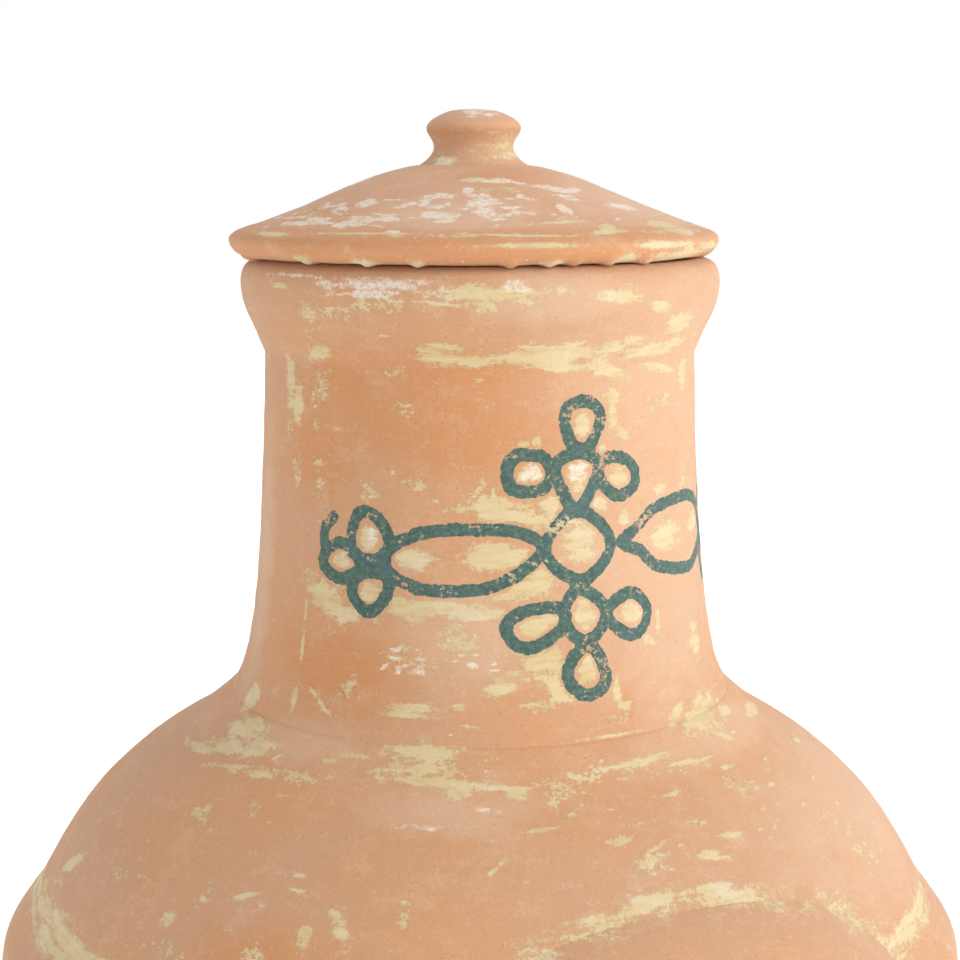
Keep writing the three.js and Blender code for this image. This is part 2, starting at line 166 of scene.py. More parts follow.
# Straw-yellow inside the loops: centre, half width and half height.
LOOP_FILLS = [
    (2, 643, 5, 8), (-25, 620, 8, 6), (24, 617, 7, 7), (-1, 618, 7, 9), (1, 585, 9, 11), (2, 550, 7, 9),
    (-24, 546, 9, 5), (29, 548, 8, 6), (2, 523, 6, 8), (-107, 588, 5, 8), (-122, 575, 7, 6),
    (-106, 560, 6, 6), (-82, 579, 9, 5), (-40, 580, 17, 7), (60, 582, 14, 8), (93, 585, 9, 5),
]

# Paint and stains, each (azimuth, height, half length, half width) and, where it isn't level, the angle by
# which it rises to the right. Solid smears of straw-yellow come first, by place up the body.
SOLID_SMEARS = [
    # collar
    (-23, 709, 26, 3.2), (-7, 710, 3, 3), (8, 705, 16, 3.2, -8), (20, 700, 9, 3, -12), (-75, 710, 7, 1.5),
    (-67, 677, 10, 3.5, 15), (-35, 704, 20, 1.2, -6), (30, 691, 10, 6, 10),
    # foot of the collar
    (-34, 682, 14, 2.6), (-30, 677, 20, 3), (-12, 677, 44, 4, 2), (-4, 673, 22, 3.6, -6),
    (8, 669, 18, 4, -18), (12, 683, 14, 3, 8), (24, 678, 22, 4, 6), (40, 664, 12, 5, 80),
    (26, 668, 14, 3, -10), (10, 655, 4, 5), (0, 680, 30, 2, -3),
    # beside the motif
    (-81, 661, 5, 14), (-77, 648, 4, 9), (10, 647, 3, 9), (13, 638, 7, 2.6, -45), (7, 631, 3.5, 3),
    (-7, 605, 7, 6), (-17, 600, 26, 3.4, -10), (-22, 606, 12, 4), (6, 604, 6, 6), (13, 596, 5, 4.5),
    (-21, 583, 15, 5, 3), (-64, 554, 18, 7, -28), (-58, 549, 14, 5), (-44, 556, 14, 5, -20),
    (-34, 555, 28, 4, -2), (-24, 553, 22, 3.4, 2), (-13, 567, 18, 9, 25), (-8, 553, 7, 11, 40),
    (-10, 530, 15, 11, 20), (-6, 518, 8, 11), (-20, 517, 9, 4, 10), (-71, 549, 1.1, 9), (-71, 530, 0.8, 15),
    (-63, 504, 10, 1.2, -35), (17, 536, 12, 2.6, -30), (23, 543, 2, 9), (40, 524, 6, 10), (8, 511, 2, 9),
    (10, 504, 5, 2, 10), (-39, 507, 13, 2), (-40, 503, 16, 1.3), (-29, 508, 4, 2),
    # seam at the chimney's foot
    (-34, 488, 18, 5, -2), (-37, 482, 20, 3), (-33, 477, 25, 3.4, -3), (-28, 473, 7, 4),
    (-20, 475, 15, 1.4), (-18, 473, 6, 3), (-50, 484, 12, 1.6), (8, 480, 22, 2, 4), (-15, 461, 10, 1.6, 5),
    (-55, 481, 6, 2, 20), (-22, 450, 8, 1.3, 45), (-71, 503, 2, 9), (2, 491, 36, 0.7),
    # shoulders
    (32, 491, 17, 7, 6), (24, 494, 12, 3, 30), (34, 479, 9, 2, -35), (42, 487, 9, 3), (57, 478, 17, 4, -4),
    (58, 461, 6, 2, -20), (22, 475, 14, 1.2, 3), (26, 470, 7, 2), (17, 476, 8, 1.2), (-84, 483, 18, 7, 8),
    (-82, 475, 18, 6, 10), (-90, 470, 24, 3, 8), (-76, 470, 20, 2, 16), (-73, 479, 9, 5, 10),
    (-68, 471, 14, 3, 12), (-88, 494, 7, 10),
    # belly
    (-94, 412, 12, 4, 40), (-66, 416, 5.5, 4), (-56, 432, 8, 1.5, 27), (-46, 422, 4, 8),
    (-42, 427, 4, 10, 30), (-88, 390, 8, 6, 30), (-74, 390, 6, 2), (2, 452, 10, 1.5, 20),
    (15, 450, 9, 2, -5), (9, 446, 6, 3), (-2, 434, 22, 5, 14), (8, 434, 16, 4, -4), (120, 600, 20, 3, 8),
    (150, 640, 26, 4, -5), (-150, 580, 22, 5, 6), (175, 520, 30, 5), (-170, 455, 30, 8, 3),
    (135, 465, 34, 8, -4), (110, 420, 24, 6, 10), (-140, 420, 26, 6, -8), (165, 400, 20, 9, 5),
    (-120, 678, 34, 3), (100, 676, 36, 3, 2), (160, 678, 40, 3, -1), (-160, 706, 30, 3),
    (90, 704, 26, 3, 3), (140, 330, 30, 7, 12), (-100, 300, 26, 8, -10), (80, 290, 30, 8, 8),
    (-150, 260, 26, 7, 5), (60, 340, 16, 6, -12),
]
# Worn yellow, where only flakes are left.
FLAKY_SMEARS = [
    (-66, 697, 8, 10, 20), (-66, 687, 10, 3), (-57, 698, 14, 4), (-48, 703, 20, 5), (-68, 657, 7, 12),
    (-5, 678, 60, 9), (29, 691, 13, 8), (26, 651, 12, 5), (-82, 478, 30, 14, 8), (30, 486, 26, 14),
    (-35, 482, 34, 12), (-62, 556, 26, 14, -20), (-10, 528, 24, 16), (-15, 600, 34, 8, -8),
    (-25, 708, 44, 8), (-44, 652, 7, 4), (-46, 669, 8, 2.4), (-79, 647, 6, 7), (-81, 635, 5, 7),
    (-78, 621, 4, 8), (-77, 612, 4, 7), (-69, 640, 5, 6), (-69, 622, 7, 3), (-68, 611, 5, 5),
    (-53, 611, 10, 6), (-41, 615, 9, 4), (-33, 606, 9, 6), (-24, 612, 11, 9), (-12, 635, 14, 4),
    (-27, 604, 14, 4), (26, 607, 8, 4), (39, 608, 12, 4, 8), (30, 587, 14, 8), (30, 652, 6, 5),
    (-43, 532, 9, 5), (-36, 528, 16, 5, -6), (-30, 541, 16, 8), (-21, 518, 12, 7), (-12, 508, 12, 6),
    (-56, 512, 8, 8), (8, 500, 12, 4, 10), (-7, 477, 24, 6, 3), (-9, 471, 13, 8), (-10, 465, 8, 3, 10),
    (-28, 473, 12, 5), (6, 478, 14, 5, 6), (-58, 473, 20, 5, 4), (-66, 473, 14, 4, 8),
    (-75, 469, 12, 6, 10), (-73, 454, 8, 7), (-63, 460, 8, 6), (10, 467, 12, 3, -8), (10, 457, 11, 3),
    (-3, 456, 8, 4), (0, 447, 12, 7), (20, 474, 24, 5), (26, 463, 16, 8, -30), (40, 424, 18, 14, 30),
    (-62, 430, 5, 9), (-34, 433, 3, 10), (-63, 402, 14, 8), (-72, 391, 12, 4), (-88, 393, 12, 7, 30),
    (-52, 412, 10, 6), (-79, 424, 8, 5), (-95, 402, 8, 8), (130, 560, 30, 12), (-130, 620, 26, 12),
    (170, 600, 24, 9), (-165, 500, 30, 8), (110, 500, 26, 7), (150, 440, 30, 12), (-130, 455, 30, 12),
    (-175, 380, 26, 12), (100, 360, 24, 12), (-110, 350, 24, 12),
]
# White, chalky bloom.
CHALK_SMEARS = [
    (-34, 462, 15, 3.4, -4), (-23, 467.5, 9, 3, -4), (-51, 588, 4, 6), (-48, 711, 33, 5),
    (-73, 715, 22, 1.6), (-48, 706, 30, 1.3, -6), (-12, 621, 5, 5), (0, 620, 5, 6), (-17, 712, 8, 3.5),
]
# Clay that is browner than the rest, and clay that is painted paler: partly paler clay, and over the
# right-front a painted highlight on the side towards the key light.
WARM_STAINS = [
    (-42, 655, 60, 24), (-25, 668, 30, 8), (-68, 628, 26, 22), (-60, 520, 34, 20), (-50, 410, 40, 14),
    (10, 503, 4, 8), (-30, 640, 60, 20), (120, 640, 60, 30), (-140, 440, 80, 30),
]
PALE_CLAY_AND_LIT_SIDE = [
    # the broad patches at positive azimuths near the front paint the side towards the key light paler: a
    # painted highlight
    (28, 660, 70, 60), (28, 570, 62, 70), (-4, 706, 40, 14), (48, 440, 90, 50), (-25, 540, 34, 22),
    (-96, 560, 14, 60), (-30, 467, 34, 12), (36, 480, 60, 16), (-62, 486, 30, 12), (10, 575, 20, 26),
    (170, 560, 80, 50), (-140, 520, 60, 50), (150, 440, 80, 40), (-110, 300, 80, 50), (60, 280, 80, 50),
]


def scattered(count, seed, azimuths, heights, half_lengths, half_widths, tilts=(-25, 25)):
    """Smears strewn evenly over a stretch of the surface, each value between its two limits."""
    draw = np.random.default_rng(seed)
    limits = (azimuths, heights, half_lengths, half_widths, tilts)
    return [tuple(draw.uniform(*limit) for limit in limits) for _ in range(count)]


SOLID_SMEARS += scattered(30, 1, (75, 235), (260, 715), (8, 34), (2, 5), (-12, 12))
SOLID_SMEARS += scattered(30, 2, (70, 240), (200, 470), (3, 10), (1, 2.4), (-50, 50))
SOLID_SMEARS += scattered(40, 6, (-10, 50), (440, 484), (2, 7), (0.3, 0.8), (-30, 20))
SOLID_SMEARS += scattered(24, 8, (-100, 0), (330, 480), (2, 5), (0.6, 1.2), (-10, 50))
FLAKY_SMEARS += scattered(40, 3, (70, 240), (230, 715), (8, 26), (5, 12))
FLAKY_SMEARS += scattered(90, 4, (-110, 60), (300, 700), (2, 6), (0.6, 2))
FLAKY_SMEARS += scattered(30, 9, (-180, 180), (180, 370), (6, 24), (3, 9))
CHALK_SMEARS += scattered(14, 5, (75, 230), (240, 700), (10, 30), (5, 12))
CHALK_SMEARS += scattered(34, 10, (-52, -20), (523, 536), (1, 3.5), (0.5, 1.3))

# The same on the lid, each (azimuth, radius, half length, half width) and an angle where it isn't level.
LID_CHALK = [
    (-34, 97, 11, 6), (-20, 96, 9, 9), (-22, 86, 9, 3, 6), (-26, 71, 4, 8, 20), (-79, 86, 14, 4),
    (-64, 84, 6, 7), (-55, 108, 9, 6), (-79, 110, 24, 3), (-43, 118, 5, 3), (9, 68, 11, 4, -20),
    (4, 92, 4, 6), (-12, 60, 8, 3), (30, 90, 10, 4, -10), (70, 80, 24, 7, 10), (120, 95, 26, 9, -8),
    (170, 70, 20, 8, 5), (-140, 100, 30, 8), (-110, 60, 16, 7, 12), (95, 110, 20, 4),
]
LID_CHALK += scattered(40, 11, (-42, -4), (74, 106), (2, 7), (1, 3))
LID_CHALK += scattered(24, 12, (-92, -44), (80, 114), (3, 10), (1, 2.4))
LID_CHALK += scattered(40, 13, (0, 360), (60, 120), (2, 8), (1, 3))
LID_FLAKES = [
    (-25, 121, 70, 5), (-60, 112, 30, 6), (38, 120, 44, 7), (58, 104, 24, 8, -8), (0, 106, 30, 6),
    (-80, 96, 30, 12), (-12, 70, 24, 8), (150, 118, 80, 8), (-130, 112, 50, 8),
]
LID_SOLID = [
    (-50, 121, 34, 1.6, 2), (-14, 122, 30, 2, -2), (10, 119, 14, 2.4, 4), (32, 113, 14, 5, -4),
    (34, 121, 26, 4), (-24, 58, 8, 3), (-78, 124, 14, 2.4), (65, 118, 30, 4), (-125, 119, 34, 3),
    (150, 120, 40, 4), (10, 114, 6, 4), (-5, 108, 20, 1.5, 4),
]
LID_WARM = [(0, 52, 26, 12), (-80, 100, 30, 12)]
LID_PALE = [(-30, 98, 36, 16), (50, 90, 50, 40), (160, 90, 80, 40)]
# Paint caught along the lid's lower edge, each (azimuth, height, half length, half height) and an angle.
RIM_SMEARS = [
    (11, 723, 9, 3, 4), (30, 724, 26, 3.4, 3), (-12, 731, 26, 1.4), (22, 730, 22, 2), (45, 728, 20, 4),
    (-66, 723, 6, 2.4), (-49, 722, 7, 2), (-37, 722, 5, 2), (-7, 722, 6, 2), (120, 728, 40, 4),
    (-140, 727, 40, 4),
]
# Drops of slip hanging on that edge: azimuths and how far each stands out.
RIM_DROPS = [
    (-150, 1.6), (-118, 1.3), (-95, 1.5), (-66, 1.5), (-49, 1.7), (-37, 1.6), (-16, 1.8), (-7, 1.5),
    (-1, 1.3), (8, 1.7), (19, 1.6), (70, 1.6), (98, 1.4), (133, 1.8), (171, 1.5),
]
# A lump on the lid: its azimuth and radius, how wide it is and how far it stands out.
LID_BUMP = {"azimuth": -24, "radius": 99, "size": 5, "proud": 1.1}


# Noise -------------------------------------------------------------------------------------------

def cell_value(cell, seed):
    """A steady number from 0 to 1 for each whole-number cell of space."""
    low_half = np.uint64(0xFFFFFFFF)
    x, y, z = (cell.astype(np.int64).astype(np.uint64) & low_half).T
    mixed = x * np.uint64(73856093) ^ y * np.uint64(19349663) ^ z * np.uint64(83492791)
    mixed = (mixed ^ np.uint64(seed * 2654435 + 1)) & low_half
    for shift, factor in ((15, 2246822519), (13, 3266489917)):
        mixed = ((mixed ^ (mixed >> np.uint64(shift))) * np.uint64(factor)) & low_half
    return (mixed >> np.uint64(8)).astype(float) / 2**24


def noise(points, size, seed=0):
    """Smooth noise from -1 to 1, in lumps about size across."""
    scaled = points / size
    cell = np.floor(scaled)
    part = scaled - cell
    part = part * part * (3 - 2 * part)
    total = np.zeros(len(points))
    for corner in itertools.product((0, 1), repeat=3):
        weight = np.prod(np.where(np.array(corner) == 1, part, 1 - part), axis=1)
        total += weight * cell_value(cell + corner, seed)
    return 2 * total - 1


def fractal(points, size, octaves, seed=0):
    """Noise with finer and fainter lumps on it."""
    shares = [0.5**i for i in range(octaves)]
    layers = [share * noise(points, size * share, seed + i) for i, share in enumerate(shares)]
    return sum(layers) / sum(shares)


# Outlines ----------------------------------------------------------------------------------------

def smooth(points, closed=False):
    """An even curve through a few points."""
    points = np.array(points, float)
    if closed:
        padded = np.vstack([points[-1:], points, points[:2]])
    else:
        padded = np.vstack([points[:1], points, points[-1:]])
    t = np.linspace(0, 1, 16, endpoint=False)[:, None]
    parts = []
    for before, start, end, after in zip(padded, padded[1:], padded[2:], padded[3:]):
        leave, arrive = (end - before) / 2, (after - start) / 2
        bend = 3 * (end - start) - 2 * leave - arrive
        twist = 2 * (start - end) + leave + arrive
        parts.append(start + leave * t + bend * t**2 + twist * t**3)
    return np.vstack([*parts, padded[-2:-1]])


def respaced(line, spacing):
    """The same line with its points about spacing apart."""
    line = np.array(line, float)
    steps = np.linalg.norm(np.diff(line, axis=0), axis=1)
    along = np.concatenate([[0], np.cumsum(steps)])
    at = np.linspace(0, along[-1], max(1, round(along[-1] / spacing)) + 1)
    return np.column_stack([np.interp(at, along, column) for column in line.T])


def joined(*lines):
    """Lines end to end as one, without the doubled points where they meet."""
    return np.vstack([lines[0], *(line[1:] for line in lines[1:])])


def beside(line, distance):
    """The line moved to its left."""
    along = np.gradient(line, axis=0)
    along /= np.linalg.norm(along, axis=1)[:, None]
    return line + distance * np.column_stack([-along[:, 1], along[:, 0]])


def wall_inside(line, wall, spacing):
    """A wall's inner face, from the end of its outer line back to the start, level with it at both ends."""
    inner = beside(line, wall)
    inner = inner[(inner[:, 1] > line[0, 1] + 1) & (inner[:, 1] < line[-1, 1] - 1)]
    first = [np.interp(line[0, 1], inner[:, 1], inner[:, 0]), line[0, 1]]
    last = [np.interp(line[-1, 1], inner[:, 1], inner[:, 0]), line[-1, 1]]
    return respaced(np.vstack([[first], inner, [last]]), spacing)[::-1]


def bowl_bottom():
    """The round bottom, from the small flat up to the equator."""
    lowest = math.asin((BELLY_EQUATOR_Z - FOOT_Z) / BELLY_DEPTH)
    angle = np.linspace(lowest, 0, 60)
    return np.column_stack([BELLY_RADIUS * np.cos(angle), BELLY_EQUATOR_Z - BELLY_DEPTH * np.sin(angle)])


bowl_line = joined(bowl_bottom(), smooth(BAND))
dome_line = smooth(DOME)
shaft_line = smooth(SHAFT)
collar_line = smooth(COLLAR)
body_line = joined(bowl_line, dome_line, shaft_line, collar_line)
body_rises = np.concatenate([[0], np.cumsum(np.linalg.norm(np.diff(body_line, axis=0), axis=1))])


def body_radius(height):
    return np.interp(height, body_line[:, 1], body_line[:, 0])


def body_rise(height):
    """Distance up the clay body's outer face, in mm."""
    return np.interp(height, body_line[:, 1], body_rises)


def near(value, middle, half_width, peak=1.4):
    """1 close to the middle of a band, fading to 0 outside it. A higher peak widens the band."""
    return np.clip(peak - np.abs(value - middle) / half_width, 0, 1)


def past(value, start, width):
    """0 up to start, rising to 1 a width further on."""
    return np.clip((value - start) / width, 0, 1)


# Mesh building -----------------------------------------------------------------------------------

def mesh_piece(name, points, faces):
    """A smooth-shaded piece from points in mm and faces facing out."""
    mesh = bpy.data.meshes.new(name)
    mesh.from_pydata((np.array(points) * MM).tolist(), [], [list(map(int, face)) for face in faces])
    mesh.shade_smooth()
    mesh.update()
    piece = bpy.data.objects.new(name, mesh)
    bpy.context.scene.collection.objects.link(piece)
    return piece


def grid_faces(index):
    """Quads between the rows of a grid of point numbers whose columns close on themselves."""
    right = np.roll(index, -1, axis=1)
    quads = np.stack([index[:-1], right[:-1], right[1:], index[1:]], axis=-1)
    return quads.reshape(-1, 4).tolist()


def turned(name, outline, columns, centre=(0, 0)):
    """Turns an outline of (radius, height) about +Z. It closes on itself, or starts and ends on the axis."""
    on_axis = outline[0][0] == 0
    rings = outline[1:-1] if on_axis else outline
    angle = np.linspace(0, 2 * math.pi, columns, endpoint=False)
    x = centre[0] + rings[:, :1] * np.cos(angle)
    y = centre[1] + rings[:, :1] * np.sin(angle)
    z = np.repeat(rings[:, 1:], columns, axis=1)
    points = np.stack([x, y, z], axis=-1).reshape(-1, 3)
    index = np.arange(len(points)).reshape(len(rings), columns)
    if not on_axis:
        return mesh_piece(name, points, grid_faces(np.vstack([index, index[:1]])))
    start, end = len(points), len(points) + 1
    poles = [[*centre, outline[0][1]], [*centre, outline[-1][1]]]
    first, last = index[0], index[-1]
    fans = [(start, after, here) for here, after in zip(first, np.roll(first, -1))]
    fans += [(here, after, end) for here, after in zip(last, np.roll(last, -1))]
    return mesh_piece(name, np.vstack([points, poles]), grid_faces(index) + fans)


def swept(name, path, section, side, closed=False):
    """A bar along a path, its ends capped: a section's first value is along side, its second across both."""
    path = np.array(path, float)
    along = np.roll(path, -1, 0) - np.roll(path, 1, 0) if closed else np.gradient(path, axis=0)
    along /= np.linalg.norm(along, axis=1)[:, None]
    side = np.broadcast_to(np.array(side, float), path.shape)
    up = np.cross(along, side)
    section = np.array(section, float)
    points = path[:, None] + section[:, 0, None] * side[:, None] + section[:, 1, None] * up[:, None]
    count = len(section)
    index = np.arange(len(path) * count).reshape(len(path), count)
    if closed:
        return mesh_piece(name, points.reshape(-1, 3), grid_faces(np.vstack([index, index[:1]])))
    caps = [index[0][::-1].tolist(), index[-1].tolist()]
    return mesh_piece(name, points.reshape(-1, 3), grid_faces(index) + caps)


def round_section(bar, sides=14):
    angle = np.linspace(0, 2 * math.pi, sides, endpoint=False)
    return np.column_stack([np.cos(angle), np.sin(angle)]) * bar / 2


def flat_section(width, thickness, corner=1.2):
    """A flat bar's section with rounded corners."""
    corners = []
    for quarter, (sx, sy) in enumerate([(1, 1), (-1, 1), (-1, -1), (1, -1)]):
        for step in range(4):
            angle = math.radians(90 * quarter + 30 * step)
            corners.append((sx * (width / 2 - corner) + corner * math.cos(angle),
                            sy * (thickness / 2 - corner) + corner * math.sin(angle)))
    return corners


def read(vertices, field):
    values = np.zeros(len(vertices) * 3, np.float32)
    vertices.foreach_get(field, values)
    return values.reshape(-1, 3).astype(float)


class Skin:
    """A piece's vertices in mm, with their places round the axis, to push them about and to paint them."""

    def __init__(self, piece, centre=(0, 0)):
        self.mesh = piece.data
        self.points = read(self.mesh.vertices, "co") / MM
        self.normals = read(self.mesh.vertices, "normal")
        x, y = self.points[:, 0] - centre[0], self.points[:, 1] - centre[1]
        self.azimuth = np.degrees(np.arctan2(x, -y))
        self.radius = np.hypot(x, y)
        self.height = self.points[:, 2]

    def push(self, distance):
        """Moves each vertex out along its normal, by mm. The places stay those of the true shape."""
        moved = (self.points + self.normals * np.asarray(distance)[:, None]) * MM
        self.mesh.vertices.foreach_set("co", moved.astype(np.float32).ravel())
        self.mesh.set_sharp_from_angle(angle=math.radians(SHARP_ANGLE))
        self.mesh.update()

    def follow_body(self, outside):
        """Takes the true outline's normals on the outer face, so that pieces that meet move alike."""
        along = np.gradient(body_line, axis=0)
        along /= np.linalg.norm(along, axis=1)[:, None]
        rise, out = (np.interp(self.height, body_line[:, 1], column) for column in along.T[::-1])
        turn = np.radians(self.azimuth)
        normals = np.column_stack([rise * np.sin(turn), -rise * np.cos(turn), -out])
        self.normals = np.where(outside[:, None] > 0, normals, self.normals)

    def paint(self, **layers):
        """Gives each vertex a value, or one for all, under each name that the clay material reads."""
        for name, values in layers.items():
            attribute = self.mesh.attributes.new(name, "FLOAT", "POINT")
            attribute.data.foreach_set("value", np.full(len(self.points), values, np.float32))

    def arc_to(self, azimuth):
        """Distance round the piece from an azimuth."""
        return np.radians((self.azimuth - azimuth + 180) % 360 - 180) * self.radius

    def smeared(self, smears, across_of, up, up_of):
        """1 in the middle of a smear, 0.5 at its edge and 0 well outside it."""
        cover = np.zeros(len(self.points))
        lumps = 0.55 * fractal(self.points * (1, 1, 1.6), 13, 3, 201)
        for azimuth, place, half_length, half_width, *tilt in smears:
            across = across_of(azimuth)
            rise = up - up_of(place)
            turn = math.radians(tilt[0]) if tilt else 0
            c, s = math.cos(turn), math.sin(turn)
            reach = np.hypot((across * c + rise * s) / half_length, (rise * c - across * s) / half_width)
            cover = np.maximum(cover, np.clip(1.5 - reach + lumps * min(1, half_width / 4), 0, 1))
        return cover

    def on_body(self, smears):
        return self.smeared(smears, self.arc_to, body_rise(self.height), body_rise)

    def on_lid(self, smears):
        return self.smeared(smears, self.arc_to, -self.radius, lambda radius: -radius)

    def on_rim(self, smears):
        return self.smeared(smears, self.arc_to, self.height, lambda height: height)


def distance_to_lines(across, height, lines):
    """Distance from each place on the unrolled shaft to the nearest of some lines."""
    nearest = np.full(len(across), 1e3)
    for line in lines:
        for (x0, z0), (x1, z1) in zip(line, line[1:]):
            dx, dz = x1 - x0, z1 - z0
            share = np.clip(((across - x0) * dx + (height - z0) * dz) / (dx * dx + dz * dz), 0, 1)
            nearest = np.minimum(nearest, np.hypot(across - x0 - share * dx, height - z0 - share * dz))
    return nearest


# Clay --------------------------------------------------------------------------------------------

def thrown(points):
    """How far hand-thrown clay strays from its true shape, in mm: in slow waves, throwing rings and dents."""
    waves = 0.9 * fractal(points, 110, 2, 3)
    rings = 0.28 * fractal(points * (0.15, 0.15, 1), 9, 2, 11)
    dents = 0.12 * fractal(points, 5, 2, 21)
    return waves + rings + dents


def groove(distance, half_width, depth):
    return -depth * np.exp(-((distance / half_width) ** 2))


def motif_lines():
    lines = [smooth(loop, closed=True) for loop in MOTIF_LOOPS]
    left = [[(-x, z) for x, z in loop] for loop in TREFOIL]
    right = [[(x + RIGHT_TREFOIL_SHIFT, z) for x, z in loop] for loop in TREFOIL]
    lines += [smooth(loop, closed=True) for loop in left + right]
    lines.append(smooth(STRAY_STROKE))
    return [respaced(line, 4) for line in lines]


def paint_body(skin, outside, extra_wash=0.0):
    """Smears, stains, a painted highlight on the right-front, and the motif on a piece of the clay body,
    where outside is 1.
    """
    wash = np.maximum(skin.on_body(SOLID_SMEARS), extra_wash)
    flake = skin.on_body(FLAKY_SMEARS)
    ink = np.full(len(skin.points), NO_INK)
    across = np.radians(skin.azimuth) * MOTIF_RADIUS
    bottom, top = MOTIF_HEIGHTS
    at_motif = (np.abs(across) < MOTIF_REACH) & (skin.height > bottom) & (skin.height < top) & (outside > 0)
    if at_motif.any():
        ink[at_motif] = distance_to_lines(across[at_motif], skin.height[at_motif], motif_lines())
        ink[at_motif] -= STROKE_WIDTH / 2
        for x, z, half_width, half_height in LOOP_FILLS:
            reach = np.hypot((across - x) / half_width, (skin.height - z) / half_height)
            wash = np.maximum(wash, near(reach, 0, 1, peak=1.5))
    bare_edge = near(ink, 0.6, 1.6, peak=1)
    # Browner stains, and paler clay with a painted highlight over the right-front.
    tone = skin.on_body(WARM_STAINS) - skin.on_body(PALE_CLAY_AND_LIT_SIDE)
    skin.paint(wash=(wash - 0.55 * bare_edge) * outside, flake=flake * outside,
               chalk=skin.on_body(CHALK_SMEARS) * outside, tone=tone, ink=ink)
    return np.clip(wash, 0, 1) * outside


def paint_relief(wash, points):
    """Thickness of the dried paint, crumbly at its edges."""
    return 0.16 * past(wash, 0.35, 1 / 3) * (1 + 0.6 * fractal(points, 3, 2, 31))


def seam_groove(skin):
    """The luting seam at the chimney's foot: a hair line all round, and a groove where it gapes."""
    return groove(skin.height - SEAM_Z, 1.3, 0.6) * (0.03 + near(skin.azimuth, *OPEN_SEAM))


def chimney_neck():
    outer = joined(respaced(shaft_line, 1.5), respaced(collar_line, 1.5))
    bore = respaced(CHIMNEY_MOUTH, 2)
    inner = wall_inside(shaft_line, CHIMNEY_WALL, 9)
    inner = inner[inner[:, 1] < COLLAR_TOP_Z - 20]
    outline = joined(outer, bore, np.vstack([bore[-1:], inner]))
    piece = turned("clay_chimney_neck", outline, COLUMNS["chimney_neck"])
    skin = Skin(piece)
    outside = (skin.radius > body_radius(skin.height) - 4).astype(float)
    wash = paint_body(skin, outside)
    skin.follow_body(outside)
    skin.push((thrown(skin.points) + seam_groove(skin)) * outside + paint_relief(wash, skin.points))
    return piece


def lip_reach(x, z):
    """1 on the lip's outline, less inside it and more outside."""
    lip_low, lip_high = low("mouth_lip"), high("mouth_lip")
    half_width = (lip_high.x - lip_low.x) / 2
    across = np.abs(x - (lip_low.x + half_width)) / half_width
    centre_z = lip_low.z + LIP_HEIGHT_BELOW_CENTRE
    half_height = np.where(z > centre_z, lip_high.z - centre_z, LIP_HEIGHT_BELOW_CENTRE)
    return (across**LIP_ROUNDING + (np.abs(z - centre_z) / half_height) ** LIP_ROUNDING) ** (1 / LIP_ROUNDING)


def mouth_point(outline, rounding, angle):
    """Places on the front plane round the mouth, as (x, z)."""
    lip_low, lip_high = low("mouth_lip"), high("mouth_lip")
    c, s = np.cos(angle), np.sin(angle)
    height = np.where(s >= 0, outline["up"], outline["down"])
    x = (lip_low.x + lip_high.x) / 2 + outline["half_width"] * np.sign(c) * np.abs(c) ** (2 / rounding)
    z = lip_low.z + LIP_HEIGHT_BELOW_CENTRE + height * np.sign(s) * np.abs(s) ** (2 / rounding)
    return np.stack([x, z], axis=-1)


def lip_outline():
    lip_low, lip_high = low("mouth_lip"), high("mouth_lip")
    return {"half_width": (lip_high.x - lip_low.x) / 2, "down": LIP_HEIGHT_BELOW_CENTRE,
            "up": lip_high.z - lip_low.z - LIP_HEIGHT_BELOW_CENTRE}


def belly_depth(x, z):
    """How far in front of the axis the belly's face is."""
    return np.sqrt(body_radius(z) ** 2 - x**2)


def mouth_lip():
    """A swept roll: out from the crease on the belly, over, in through the wall and back along its inside."""
    angle = np.linspace(0, 2 * math.pi, COLUMNS["mouth_lip"], endpoint=False)
    crease = mouth_point(lip_outline(), LIP_ROUNDING, angle)
    edge = mouth_point(OPENING, OPENING_ROUNDING, angle)
    crease_depth = belly_depth(*crease.T)
    edge_depth = belly_depth(*edge.T)
    proud = LIP_PROUD_TOP + (LIP_PROUD_BOTTOM - LIP_PROUD_TOP) * (1 - np.sin(angle)) / 2
    rows = []

    def row(across, outward):
        at = crease + (edge - crease) * across
        depth = crease_depth + (edge_depth - crease_depth) * across + outward
        rows.append(np.column_stack([at[:, 0], -depth, at[:, 1]]))

    row(-0.03, -4)
    for across in np.linspace(0, 1, LIP_ROWS):
        row(across, proud * math.sin(math.pi * across**LIP_ROLL_LEAN))
    for back in (0.15, 0.5, 0.85, 1):
        row(1, -BELLY_WALL * back)
    for across in (0.75, 0.5, 0.25, 0):
        row(across, -BELLY_WALL)
    points = np.array(rows)
    index = np.arange(len(angle) * len(rows)).reshape(len(rows), len(angle))
    piece = mesh_piece("clay_mouth_lip", points.reshape(-1, 3), grid_faces(np.vstack([index, index[:1]])))
    skin = Skin(piece)
    row_number = np.repeat(np.arange(len(rows)), len(angle))
    outside = (row_number <= LIP_ROWS).astype(float)
    crest = near(row_number, 0, 5, peak=1.35) * (0.45 + 0.5 * fractal(skin.points, 30, 2, 41))
    wash = paint_body(skin, outside, crest)
    skin.push((thrown(skin.points) + paint_relief(wash, skin.points)) * outside)
    return piece


